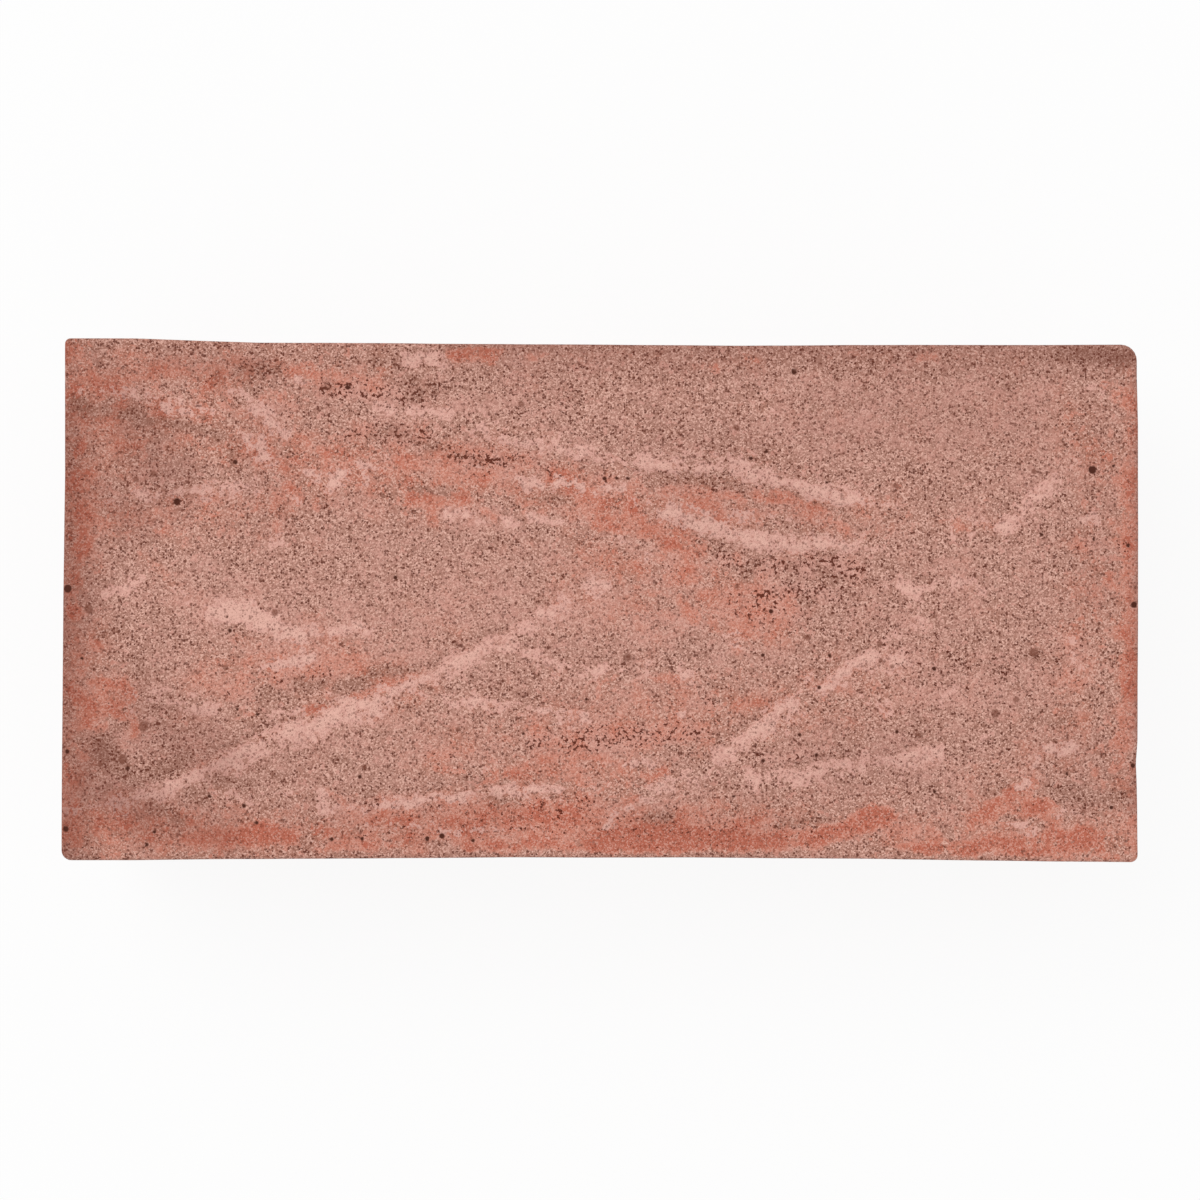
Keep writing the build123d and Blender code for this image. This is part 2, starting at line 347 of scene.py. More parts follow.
# Pale clay away from the folds, by how clean it is
PALE_CLAY = {
    0.95: (
        ((-86, -3.4, 2), (-82.5, -2.4, 2.8), (-78, -3.4, 3.2), (-73.5, -5.2, 2.8), (-69, -7.2, 2.3),
         (-65.5, -8, 1.6)),
        ((-62, -7, 1.1), (-57.5, -6.5, 1.3), (-53, -6.5, 1), (-50.5, -7.2, 0.6)),
        ((74, 3.6, 1), (77, 4, 1.3), (80.5, 4, 1)),
        ((65.5, -14.2, 1.2), (66.8, -13.6, 1.2)),
        ((18, -15.4, 1), (21, -16.4, 1.3)),
        ((-57.5, -21.8, 1.1), (-54.5, -22.6, 1.1)),
        ((-1.5, 3, 1.5), (1.5, 3, 1.5)),
    ),
    0.8: (
        ((66, 4.2, 0.9), (69, 2.4, 1.2), (71.2, 0.2, 0.9)),
        ((83.6, 3.2, 0.9), (84.6, 2.8, 0.9)),
        ((62.5, 3.7, 0.8), (63.7, 3.3, 0.8)),
        ((-59.5, 25.6, 1.4), (-57, 27.6, 1.6)),
        ((-65.5, 28, 0.9), (-62.2, 25.6, 1)),
        ((-49.5, 42.8, 1), (-46.2, 42.3, 1)),
        ((-34.5, 19.2, 0.9), (-30, 19.6, 1.2), (-26.8, 18, 0.8)),
        ((-20.8, 17.8, 1.1), (-19.4, 17.2, 1.1)),
        ((-15.5, 18.2, 0.9), (-9, 17, 1)),
        ((63, -8.6, 0.8), (67, -8, 0.7)),
        ((61.8, -22.2, 1), (64.2, -24, 1)),
        ((27.6, -7.2, 0.9), (31.2, -9, 0.9)),
        ((100.5, -33.2, 1.3), (104.5, -33, 1.4)),
        ((91.5, -49.4, 0.7), (96, -50.6, 0.9)),
        ((37, 18.2, 0.8), (42.5, 17.4, 0.9)),
        ((-72, -25.2, 0.8), (-66, -24.6, 0.8)),
        ((-71.5, 12.6, 0.9), (-70.5, 12.4, 0.9)),
        ((75, -22, 0.7), (78, -19.8, 0.7)),
        ((-62, -42.5, 0.9), (-61.8, -46.6, 1.1)),
        ((-43, 53.4, 1.2), (-37, 53.6, 1.8), (-34.4, 51, 1)),
    ),
    0.65: (
        ((-42, 41.6, 1.1), (-33.5, 40.8, 1.1)),
        ((-38.6, 27.7, 1.1), (-38, 27.3, 1.1)),
        ((-53, 30.5, 0.9), (-49, 30.2, 1), (-46.8, 31.4, 0.8)),
        ((-53, 28.6, 0.9), (-52, 25.2, 0.9)),
        ((-67.4, 49, 1.2), (-66.6, 49, 1.2)),
        ((35.2, 31.8, 0.9), (36, 31.6, 0.9)),
        ((57.2, 42.6, 1), (59, 42.4, 1)),
        ((77.2, 17, 0.9), (79, 14, 0.9)),
        ((82.5, 16.6, 0.9), (86, 16.6, 1)),
        ((107.5, 17.8, 1.6), (109.5, 18, 1.6)),
        ((71, -1, 1), (71.6, -5.6, 0.9)),
        ((84, -32, 1.4), (86, -31, 1.4)),
        ((-84, -43, 0.6), (-80, -44, 0.8), (-74, -43.5, 0.8), (-68, -42.6, 0.6)),
        ((-32, -39, 0.7), (-28, -38.6, 0.7), (-24, -37.6, 0.7)),
        ((-75, -15.2, 1.5), (-70, -14.4, 1.8), (-64.5, -12.6, 1.4)),
        ((-109, 1.8, 1), (-102, 3.4, 1.2)),
        ((-9.5, 0.6, 1), (-6.5, -0.6, 1)),
        ((10, 9.2, 0.8), (10.8, 7, 0.8)),
        ((95.4, -36.6, 0.9), (96.6, -35.4, 0.9)),
        ((92.5, -41.2, 1.1), (95.5, -40.8, 1.1)),
        ((101.5, -47.6, 0.8), (104, -45.8, 0.8), (107, -47.6, 0.8)),
        ((10, -14.2, 0.9), (14.5, -13.8, 0.9)),
        ((29, 19.6, 1), (33, 18.6, 1)),
        ((5, 14.2, 1), (6, 13.8, 1)),
    ),
    0.5: (
        ((-52, -50.8, 0.8), (-40, -50.4, 0.9), (-28, -50.8, 0.8), (-12, -50.6, 0.6)),
        ((104, -9.2, 0.7), (107.5, -7.4, 0.7)),
        ((104.5, -13, 0.7), (107, -16.4, 0.7)),
        ((5, -37, 0.9), (12, -36.6, 0.9)),
        ((109, 47.4, 1.3), (111.5, 46.6, 1.2)),
        ((36.2, 43.5, 0.8), (36.6, 46, 0.8)),
        ((38, 41.8, 0.7), (40, 41.4, 0.7)),
        ((-94.5, 3, 0.8), (-92, 0.6, 0.8)),
        ((-104.5, -24.6, 1.2), (-101, -25.6, 1.2)),
        ((1, 24.8, 0.7), (4.5, 25.2, 0.7)),
        ((57.5, -21.2, 0.8), (59, -21.8, 0.8)),
        ((70, -25, 0.7), (72, -27.4, 0.7)),
        ((17, -25.5, 0.8), (19, -25.5, 0.8)),
    ),
}

# Pale clay is written as a depth in millimetres: down to minus the reach outside it, and less by the loss
# where it isn't clean at all
PALE_REACH = 3.0
PALE_LOSS = 1.5

# Dark, dense sand, and in places painted shade beside the lips of folds, by how dark it is
DARK_SAND_AND_FOLD_SHADE = {
    0.95: (
        ((-57.5, -19.2, 1), (-52, -17.6, 1.3), (-46, -16, 1.1), (-41, -15, 0.7)),
        ((-115, 43.4, 1.6), (-112, 41.6, 1.5)),
        ((-109.5, 42, 1.2), (-104, 40.4, 1.3), (-98, 39, 1.3), (-92, 39, 1.1), (-88, 38, 1),
         (-84.2, 36, 0.9)),
        ((-82, 33.6, 0.5), (-81.6, 30.6, 0.6)),
        ((-79.4, 51.4, 1.2), (-75, 51.6, 1.3), (-71, 51.2, 1)),
        ((-84.8, 48.8, 1), (-84.2, 48.8, 1)),
        ((-60.8, 47, 0.9), (-60, 47, 0.9)),
        ((-42.4, 49.2, 1.1), (-41, 48.8, 1.1)),
        ((-41.6, 45, 1.3), (-40.4, 45, 1.3)),
        ((-110, -33, 2.2), (-107, -36, 2.4), (-104.5, -38.6, 1.6)),
        ((-100, -37.6, 1.2), (-95, -37, 1.2), (-91, -34.6, 0.9)),
        ((-102.3, -13, 1.1), (-101.8, -16, 1.1)),
        ((32.6, 5.4, 1.1), (34.8, 8.6, 1)),
        ((10, -48.6, 1), (15.5, -48.4, 1.1)),
        ((30.4, 25, 0.8), (31.6, 25, 0.8)),
        ((102, 55, 1.6), (110, 54.8, 2), (116, 53, 2.2)),
    ),
    0.75: (
        ((11, 26.6, 0.9), (18, 26.8, 1.1), (24, 26.4, 1.1), (29, 25.6, 0.9)),
        ((-50.5, 36.4, 1.2), (-46, 37.4, 1.4), (-43, 36.8, 1)),
        ((-41, 35.4, 0.8), (-36, 33.8, 0.9), (-31, 32, 0.9)),
        ((-41, 23.8, 0.8), (-36, 24, 0.9), (-31, 23.4, 0.7)),
        ((-16, 22.8, 0.7), (-12, 22.6, 0.9), (-7, 21.8, 0.6)),
        ((-50, 52, 0.8), (-44, 51.6, 0.8)),
        ((-43, 47.4, 1.2), (-37, 46.8, 1.4)),
        ((-91, -42.6, 1.2), (-88, -44, 1.2)),
        ((-99, -46.4, 1), (-93, -48.2, 1)),
        ((40, -49.4, 0.8), (50, -48.8, 0.7)),
        ((-85, -40.4, 1.2), (-79, -41, 1.3), (-76, -40, 0.8)),
        ((-75.5, -38.2, 0.6), (-70, -39.8, 0.6)),
        ((-67, -18.6, 1.4), (-61.5, -18.4, 1.3)),
        ((-74, -21, 1.2), (-69, -21.6, 1.2)),
        ((-51.8, -43, 0.5), (-49.6, -42.8, 0.5)),
        ((-24, -44.4, 1), (-18, -45.2, 1.2)),
        ((42, 7.6, 1), (43, 7.2, 1)),
        ((48.8, 7, 1), (52.4, 4.4, 1)),
        ((45.6, 0.2, 1), (46.4, -0.4, 0.9)),
        ((95, -11.8, 1.2), (96.6, -12, 1.2)),
        ((70.4, -26.6, 0.7), (70.6, -29.6, 0.7)),
        ((85.6, -42.8, 0.8), (89.6, -41, 0.9)),
        ((-110, -7.6, 1.4), (-104.6, -5, 1)),
    ),
    0.55: (
        ((-67.5, -34.2, 0.6), (-62, -33.2, 0.7), (-57.5, -35, 0.7), (-55, -37, 0.5)),
        ((47.5, 15.6, 0.8), (49, 15.4, 0.8)),
        ((63.8, 19.6, 0.5), (64, 17.4, 0.6)),
        ((62.4, 7.8, 0.8), (63.6, 7.2, 0.8)),
        ((13, 13.2, 0.8), (13.6, 12.6, 0.8)),
        ((-70.6, 20, 1), (-69.6, 18.4, 1)),
        ((-62, 22.6, 1), (-60.8, 22, 1)),
        ((-27.6, 30.4, 1.1), (-26, 29.8, 1.1)),
        ((-20, 31.2, 0.9), (-17.6, 31, 0.8)),
        ((-54.6, 36.4, 0.8), (-53.8, 35.4, 0.8)),
        ((100.5, -27.5, 0.9), (104, -26.8, 0.8)),
        ((101, -41.5, 1.6), (106, -44.5, 2.2), (111, -45, 2), (116, -43, 1.6)),
    ),
}

# Coarse dark pits, by how thick they lie
PITTED = {
    1.0: (
        ((-79, 52.4, 1.6), (-75, 51.8, 2), (-71, 51.2, 1.4)),
        ((-86, 48.4, 1.2), (-84, 48.6, 1.2)),
        ((-60, 46.6, 2.6), (-54, 46.6, 2.8), (-47, 45.4, 2.6), (-41, 45.6, 3.4), (-37, 46.4, 2.2)),
        ((-55, 36.6, 1.8), (-50, 37.4, 2.6), (-44, 36.4, 2.8), (-39, 36, 2)),
        ((-35, 33.4, 1.6), (-30, 31.4, 1.8), (-26, 31, 2.6), (-21, 31, 2.2), (-16, 31, 1.6)),
        ((14, 25, 0.7), (19, 24.8, 0.8), (24, 24.6, 0.8), (29, 24.6, 0.7), (34, 24.6, 0.5)),
        ((27, 9.4, 1.4), (33, 7.6, 2.4), (38, 7.2, 2), (44, 7.6, 2.4), (50, 7.4, 2.6), (57, 6, 2.6)),
        ((36, 1.5, 2.4), (44, 2, 2.4), (52, 1.4, 2.4)),
        ((-14, -31.4, 2), (-7, -31.4, 2.8), (0, -30.6, 2.8), (8, -30.4, 2.8), (16, -30, 2.4), (22, -29, 2)),
        ((3.5, -48, 1), (8, -48, 1.2)),
        ((-4, -43.6, 1.2), (-1.6, -45, 1.2)),
        ((0, 27.2, 0.9), (2.6, 26.8, 0.9)),
    ),
    0.7: (
        ((29, -1, 2.4), (36, -3, 3.4), (44, -3, 2.6)),
        ((-72, 42.4, 2), (-68, 42.8, 1.6)),
        ((-28.5, 28, 1.4), (-24, 28.6, 1.2)),
        ((-33, 42.6, 1.6), (-29, 44.6, 1.6)),
        ((-103, 27.4, 1.6), (-98.6, 28.2, 1.6)),
        ((-71, 22, 1.2), (-70, 19, 1.2)),
        ((-61, 21.6, 1.4), (-57, 21.6, 1.4)),
        ((-12, 28.6, 1.4), (-9, 26.6, 1)),
        ((35, 19.4, 0.7), (38, 19.6, 0.9)),
        ((43.5, 18, 0.7), (47, 17.6, 1.2), (50, 15.6, 1)),
        ((-6, 52, 1.6), (-1, 51.6, 1.6)),
        ((16, 6.8, 1.6), (20, 5.4, 1.6)),
        ((-72, -17.5, 1.6), (-66, -17, 1.8), (-60, -15.6, 1.6)),
        ((-83, -20.6, 1.2), (-79, -21.6, 1.2)),
        ((-39, -34.6, 0.8), (-33, -34.4, 1), (-29, -34.8, 0.6)),
        ((20, -22.4, 1.6), (25, -22.6, 1.4)),
        ((34, -34.6, 1.6), (42, -35, 1.8), (50, -34.4, 1.4)),
        ((-18, -45.4, 1), (-12, -45.4, 1.2), (-5, -47, 1)),
        ((-53, -52.4, 0.7), (-42, -52.2, 0.9), (-34, -52, 1.2), (-26, -52.2, 0.9), (-21, -52.4, 0.6)),
        ((12, -46.5, 1.2), (17, -46.5, 1.2)),
        ((24, -47.4, 1.2), (27, -47.8, 1.4)),
        ((104, -45, 1.8), (108, -46, 1.8)),
        ((115.5, -41, 1.2), (118, -44, 1.2)),
        ((106, 11.5, 1.6), (112, 12, 1.8), (117, 12, 1.2)),
    ),
    0.45: (
        ((60, -2, 6), (75, -16, 7), (90, -20, 7), (104, -14, 6)),
        ((66, -34, 4), (80, -38, 4)),
        ((-104, -33, 5), (-94, -32, 4)),
        ((-20, 46, 5), (-8, 44, 4)),
        ((-56, -46, 3), (-20, -48, 4), (24, -50, 3), (70, -52, 2)),
    ),
}

# Broad areas where the sand lies thin, by how thin
LEAN_SAND = {
    0.8: (
        ((-94, 0, 4), (-62, -4, 7), (-24, -2, 8), (14, -6, 7)),
        ((-70, -14, 3), (-36, -12, 5)),
        ((46, 40, 8), (92, 42, 9)),
    ),
    0.6: (
        ((-40, -16, 5), (0, -4, 6)),
        ((-66, -34, 4), (-46, -30, 4)),
        ((78, 8, 6), (92, 2, 5)),
    ),
    0.5: (
        ((-36, 29, 3), (-12, 28, 4)),
        ((84, 18, 4), (104, 28, 4)),
        ((24, -6, 4), (40, -5, 4)),
        ((-32, 20, 5), (-4, 19, 4)),
        ((-30, 7, 4), (12, 7, 4)),
        ((-97, -20, 5), (-86, -22, 5)),
        ((2, -20, 5), (14, -20, 5)),
        ((70, -20, 5), (80, -20, 5)),
    ),
}

# Blush of red over broad areas, by how red it is
BLUSH_AREAS = {
    0.95: (
        ((-110, -50, 5), (-60, -52, 3), (-30, -48, 5), (0, -48, 4)),
        ((-119, 56, 4), (-116, 44, 6), (-115, 20, 5), (-116, 4, 2)),
        ((-117, -24, 5), (-113, -10, 3)),
        ((-119, -50, 3), (-116, -36, 2)),
    ),
    0.75: (
        ((0, -48, 4), (60, -51, 3), (119, -52, 4)),
        ((-12, 26, 4), (8, 20, 6), (30, 20, 5)),
        ((117, -50, 2), (117, 0, 3), (118, 48, 2)),
        ((-16, -37, 4), (8, -38, 3)),
        ((-116, 50, 5), (-104, 46, 6)),
        ((-104, 51, 5), (-84, 50, 4)),
        ((-114, 38, 5), (-104, 34, 4)),
    ),
    0.56: (
        ((-84, 51, 4), (-50, 51, 3)),
        ((104, 40, 4), (110, 30, 5)),
        ((-112, 46, 6), (-90, 40, 8), (-66, 32, 8), (-46, 28, 8), (-20, 28, 6)),
        ((-112, 21, 4), (-84, 20, 4), (-68, 21, 5)),
        ((-84, -16, 5), (-60, -14, 6), (-44, -20, 5)),
        ((40, 20, 4), (62, 18, 3)),
        ((-4, 10, 4), (20, 5, 6), (38, -5, 6)),
    ),
    0.42: (
        ((-8, 2, 3), (12, -4, 4)),
        ((-36, -34, 6), (-6, -28, 8), (20, -26, 8), (46, -22, 7), (60, -20, 6)),
        ((88, -44, 7), (104, -30, 6), (108, 0, 5), (110, 24, 4)),
    ),
}

# Darker, by how dark: over broad areas, most towards the left end and the back and front edges; then painted
# shade close along the back and right arrises
DARKER_AREAS = {
    1.0: (
        ((-119, -57, 6), (-117, -44, 7), (-112, -34, 5)),
        ((-119.5, -34, 5), (-119, 0, 7)),
        ((-119, 40, 7), (-119, 0, 7)),
        ((-110, -43, 5), (-100, -48, 5)),
    ),
    0.75: (
        ((-118.5, 57, 4), (-118.4, 40, 4)),
        ((-100, -48, 5), (-84, -52, 4)),
        ((-112, 24, 5), (-104, 18, 4)),
    ),
    0.6: (
        ((-112, 54, 4), (-104, 38, 8), (-96, 26, 6)),
        ((-119, 30, 6), (-116, 14, 5)),
    ),
    0.55: (
        ((-104, -24, 6), (-84, -36, 6)),
        ((-117, -12, 5), (-113, -26, 4)),
    ),
    0.5: (
        ((-98, 53, 4), (-76, 52, 4)),
        ((-30, 56, 4), (119, 55, 5)),
    ),
    0.25: (
        ((-70, -50, 5), (-26, -50, 5)),
        ((2, -50, 4), (36, -51, 5)),
        ((-66, 54, 3), (-30, 54, 3)),
    ),
    0.18: (
        ((50, 42, 9), (94, 43, 9)),
        ((14, 36, 6), (34, 34, 6)),
        ((50, -34, 6), (64, -36, 6)),
        ((102, -34, 6), (114, -36, 6)),
        ((-76, 38, 6), (-74, 21, 6)),
        ((20, 21, 5), (46, 20, 5)),
        ((86, 50, 5), (98, 49, 5)),
        ((109, 38, 5), (110, 2, 5)),
        ((-80, -35, 5), (-70, -35, 5)),
    ),
}
# Painted shade close along the back and right arrises
ARRIS_SHADE = {
    0.9: (
        ((-33, 56.6, 1.5), (119, 56.6, 1.5)),
        ((119.4, -30, 0.8), (119.6, 56, 0.8)),
        ((118.6, -46, 0.8), (119.2, -34, 0.8)),
        ((104, 55, 1.6), (116, 53.6, 2.6)),
    ),
}

# Sandy band left along the arrises, outside the bare clay
SANDY_RIM = {
    1.0: (
        ((-118, 57.4, 0.8), (-104, 57, 1), (-94, 56.2, 1.3), (-82, 55.6, 1.6), (-70, 55, 1.8),
         (-58, 54.8, 1.8),
         (-47, 54.8, 1.6), (-37, 55, 1.2), (-34, 55.8, 0.6)),
        ((-94, -56.6, 0.8), (-80, -56.4, 0.8), (-70, -56.2, 1), (-65, -55.6, 1.2)),
        ((52, -55.6, 1.4), (60, -54, 2.2), (66, -54.4, 1.8)),
        ((-65, -54.6, 1.2), (-62, -50, 1.8), (-61.8, -44, 1.6)),
        ((112, -53, 1), (115, -53.8, 1.2)),
    ),
    0.7: (
        ((-118, 57, 0.7), (-117.6, 40, 1), (-117.6, 12, 1.1)),
        ((-118.4, -28, 0.9), (-118.2, -8, 0.8)),
        ((-60, -57, 0.4), (-40, -57, 0.5), (-20, -56.9, 0.5), (0, -56.9, 0.5), (30, -56.8, 0.6),
         (42, -56.4, 0.8),
         (52, -55.8, 1.2)),
        ((66, -56.4, 0.9), (76, -57.4, 0.4), (88, -57.8, 0.3)),
        ((115, -56.6, 0.8), (118, -56.6, 0.9)),
    ),
}

# Fine cracks
CRACKS = {
    1.0: (
        ((-90, 42.9, 0.12), (-88.8, 43.2, 0.2), (-87.6, 43.3, 0.1)),
        ((-34, -8.4, 0.15), (-32, -9.4, 0.35), (-30, -10.6, 0.35)),
        ((-11, -14.8, 0.1), (-7, -15.4, 0.18), (-4.5, -16.1, 0.22), (-2, -15.7, 0.1)),
        ((5.4, 40, 0.12), (6.4, 40.1, 0.15), (7.8, 40.1, 0.1)),
        ((-55, 14.5, 0.12), (-51.5, 12.5, 0.12)),
    ),
}

# Iron spots that burnt through, as (x, y, radius)
IRON_SPOTS = (
    (-93.8, 21.8, 0.75), (-117.8, 2.5, 0.9), (-80.8, 30.6, 0.5), (109.1, 28.9, 0.85), (113.8, 29.8, 0.35),
    (62, 25.4, 0.3), (64.1, 20.2, 0.35), (97.8, 14.5, 0.35), (91.7, 7.1, 0.3), (109.5, 13.5, 0.4),
    (117, 12.1, 0.45), (118.2, -1.1, 0.65), (111.1, -1.3, 0.3), (-71.7, 32.3, 0.3), (-69.2, 31.7, 0.3),
    (-55.8, 47.2, 0.6), (-16.6, 48.6, 0.3), (-6.2, 37.1, 0.3), (-45.3, 5.1, 0.4), (4.5, 49.3, 0.4),
    (13, 55, 0.3), (43, 50.7, 0.65), (36.5, 40, 0.4), (35, 45.7, 0.3), (33.4, 31.4, 0.45),
    (36.8, 32.9, 0.35), (50.3, 26.1, 0.35), (3.7, 27.1, 0.4), (6.1, 27, 0.4), (-117.9, -33.6, 0.45),
    (-104.6, -37.3, 0.4), (-118.3, -50.6, 0.6), (-98.6, -51.4, 0.35), (-100.3, -54.1, 0.35),
    (-86.5, -43.5, 0.35),
    (-80.3, -24.2, 0.3), (-78.8, -45.5, 0.45), (-76, -49.4, 0.4), (-75.8, -25.3, 0.3), (-82.7, -3.7, 0.3),
    (-81.9, -6.8, 0.4), (-17, -29.5, 0.3), (-3, -22, 0.3), (-53.2, -39.2, 0.4), (-38.2, -52.9, 0.5),
    (-34.9, -52.2, 0.6), (-28.2, -53.3, 0.4), (-59.4, -53, 0.4), (-52.7, -53, 0.4), (29.6, -43.6, 0.35),
    (74, -15.3, 0.45), (36, -12.2, 0.4), (38, -2.5, 0.5), (44.3, -29.8, 0.35), (48.5, -19.3, 0.4),
    (50.8, -12.3, 0.35), (48, -34.3, 0.4), (36.2, -35.6, 0.4), (65.7, -29.3, 0.4), (74, -42.5, 0.35),
    (118, -36.8, 0.5), (103.4, -38.5, 0.4), (113.2, -46, 0.4), (-114.7, -13, 0.36), (1, 27, 0.46),
)

# Brown and grey lumps in the clay, as (x, y, radius)
CLAY_LUMPS = (
    (-102.8, 26.8, 0.7), (-105.7, -35.2, 1), (-110.5, -36.3, 0.5), (-82.9, -14.8, 0.6), (-113.3, -2, 1),
    (-72, -2.8, 0.8), (-48, 23.2, 0.6), (-17.4, 43.4, 0.7), (30.2, 38.3, 0.7), (53.7, 23.2, 0.35),
    (96.3, 28.6, 0.7), (68.4, 30.2, 0.5), (65.6, 25.2, 0.65), (73, 3.9, 0.45), (95.4, 7.2, 0.45),
    (5.9, -12.5, 0.9), (61.8, -9.7, 0.7), (62, -13.5, 0.55), (64.7, -14.6, 0.5), (92.2, -22, 0.7),
    (87.5, -25, 0.9), (46.2, -8.2, 0.7), (-37.6, -19.6, 0.5), (-31.4, -28.6, 0.55), (-52.3, -37, 0.7),
    (74, -3.7, 0.45), (70.5, -29.8, 0.6), (107, -47, 0.5), (-101.2, -28, 1.1), (96, -11.5, 1),
    (30.2, 3, 0.55), (-75.3, 4.5, 0.45), (-98.8, 28, 0.7), (115.4, 35.5, 0.45),
)

# Folds in the walls, as above, with (along the wall, height, half width) points seen from outside
WALL_FOLDS = {
    "front": (
        (1, 0.8, ((-104, 14, 0.7), (-88, 19, 1.2), (-70, 25, 1.5), (-50, 28, 1.3), (-34, 33, 0.7))),
        (-1, 0.65, ((-58, 52, 0.6), (-40, 49, 1), (-20, 47.5, 1.1), (-2, 43, 0.6))),
        (1, 0.9, ((18, 22, 0.7), (32, 27, 1.3), (48, 35, 1.6), (60, 39, 1.4), (76, 48, 0.7))),
        (-1, 0.65, ((66, 20, 0.6), (84, 18, 1.1), (104, 14, 0.6))),
    ),
    "back": (
        (1, 0.85, ((-96, 46, 0.7), (-78, 42, 1.3), (-56, 35, 1.5), (-38, 32, 1.1), (-22, 27, 0.6))),
        (-1, 0.65, ((-40, 54, 0.6), (-18, 52, 1.1), (4, 47, 1), (20, 45, 0.6))),
        (1, 0.75, ((30, 16, 0.7), (52, 22, 1.3), (70, 27, 1.2), (92, 36, 0.6))),
    ),
    "left": (
        (1, 0.8, ((-42, 20, 0.7), (-24, 28, 1.3), (-4, 33, 1.4), (18, 43, 0.7))),
        (-1, 0.65, ((4, 18, 0.6), (22, 15, 1), (40, 13, 0.6))),
    ),
    "right": (
        (1, 0.85, ((-36, 48, 0.7), (-18, 41, 1.4), (6, 36, 1.3), (26, 28, 0.7))),
        (-1, 0.65, ((-34, 16, 0.6), (-14, 19, 1.1), (6, 18, 0.6))),
    ),
}


# Across a fold, in millimetres: how far it acts, how wide the crease beside its lip is and how far off
FOLD_REACH = 6
CREASE_WIDTH = 0.75
CREASE_GAP = 0.5

# Painted shade beside a fold's lip, over and past its crease: how dark it is, how wide in millimetres and
# how far off
FOLD_SHADE_DARKNESS = 0.15
FOLD_SHADE_WIDTH = 1.1
FOLD_SHADE_GAP = 1.3

# How far marks fade out to either side of their edges, in millimetres
BROAD_FADE = 8.0
RED_FADE = 1.4
GLOW_FADE = 5.0
ARRIS_SHADE_FADE = 4.0
SAND_FADE = 1.5
PIT_FADE = 1.4
RIM_FADE = 0.8
CRACK_FADE = 0.4

# How far below the moulded face its marks end, and over how much they fade out, in millimetres
MARKS_END = 7
MARKS_FADE = 6

# How near to a direction a normal has to point for its face to count as facing it
FACING = 0.7

# Grains, dark grains and pits a millimetre, the noise over which a pit opens and how sharp its edge is
GRAINS = 3.4
DARK_GRAINS = 2.0
PITS = 1.25
PIT_LEVEL = 0.69
PIT_EDGE = 30.0

# The clay's gloss, and the relief of its grain
CLAY_ROUGHNESS = 0.92
CLAY_SPECULAR = 0.2
GRAIN_RELIEF = 0.3 * MM

# Studio, in metres
FLOOR_SIZE = 6.0
SOFT_BOX_PLACE = (-0.75, 0.75, 1.9)
SOFT_BOX_SIZE = 1.4


def length_property(name, description, default):
    """A length that the panel shows."""
    return bpy.props.FloatProperty(name=name, description=description, default=default, unit="LENGTH")


def colour_property(name, description, default):
    """A colour that the panel shows."""
    return bpy.props.FloatVectorProperty(
        name=name, description=description, default=default, subtype="COLOR",
    )


class BrickSizes(bpy.types.PropertyGroup):
    """Sizes of the fired brick."""

    height: length_property("Height", "From the struck bed to the moulded face", CAD_HIGH.z - CAD_LOW.z)
    mould_draft: bpy.props.FloatProperty(
        name="Mould draft", description="Lean of the walls towards the moulded face",
        default=math.radians(0.5), subtype="ANGLE",
    )
    back_left_radius: length_property("Back left corner", "Radius seen from above", 1.2 * MM)
    back_right_radius: length_property("Back right corner", "Radius seen from above", 3.6 * MM)
    front_right_radius: length_property("Front right corner", "Radius seen from above", 1.6 * MM)
    front_left_radius: length_property("Front left corner", "Radius seen from above", 2.2 * MM)
    moulded_arris: length_property("Moulded arris", "Radius round the moulded face", 1.0 * MM)
    struck_arris: length_property("Struck arris", "Radius round the struck bed", 0.6 * MM)
    cell: length_property(
        "Mesh cell", "Side of a cell on the walls; the moulded face has half of it", 1.56 * MM,
    )
    fold_depth: length_property("Fold depth", "Depth of the crease beside a fold's lip", 0.55 * MM)
    lip_height: length_property("Lip height", "Rise of a fold's lip over the face", 0.16 * MM)
    spot_relief: length_property("Spot relief", "How far iron spots sink and lumps stand out", 0.2 * MM)
    waviness: length_property("Waviness", "Slow unevenness of every face", 0.18 * MM)


class ClayColours(bpy.types.PropertyGroup):
    """Colours of the clay and of what is in it."""

    ground: colour_property("Ground", "Clay under the sand", (0.630, 0.314, 0.253))
    blush: colour_property("Blush", "Clay that is a little redder", (0.630, 0.293, 0.228))
    salmon: colour_property("Salmon", "Clay that is half bare", (0.634, 0.258, 0.188))
    red: colour_property("Red", "Clay that is bare of sand", (0.608, 0.215, 0.146))
    deep_red: colour_property("Deep red", "Clay that the mould wiped hardest", (0.532, 0.148, 0.092))
    pale: colour_property("Pale", "Clean clay on the lips of the folds", (0.730, 0.386, 0.320))
    sand: colour_property("Sand", "Sand pressed into the clay", (0.390, 0.197, 0.146))
    # Dark grains; also mixed in as the painted shade beside the folds' lips
    grain: colour_property("Grain", "Dark grains among the sand", (0.216, 0.073, 0.045))
    glint: colour_property("Glint", "Light grains among the sand", (0.848, 0.499, 0.408))
    pit: colour_property("Pit", "Inside of a pit", (0.108, 0.017, 0.006))
    # Colour of the darker areas and of the painted shade along the arrises
    darkening_and_shade: colour_property("Smoke", "Darker firing towards the edges", (0.150, 0.030, 0.018))
    iron: colour_property("Iron spot", "Burnt iron", (0.085, 0.022, 0.012))
    lump: colour_property("Lump", "Brown lumps in the clay", (0.195, 0.060, 0.036))


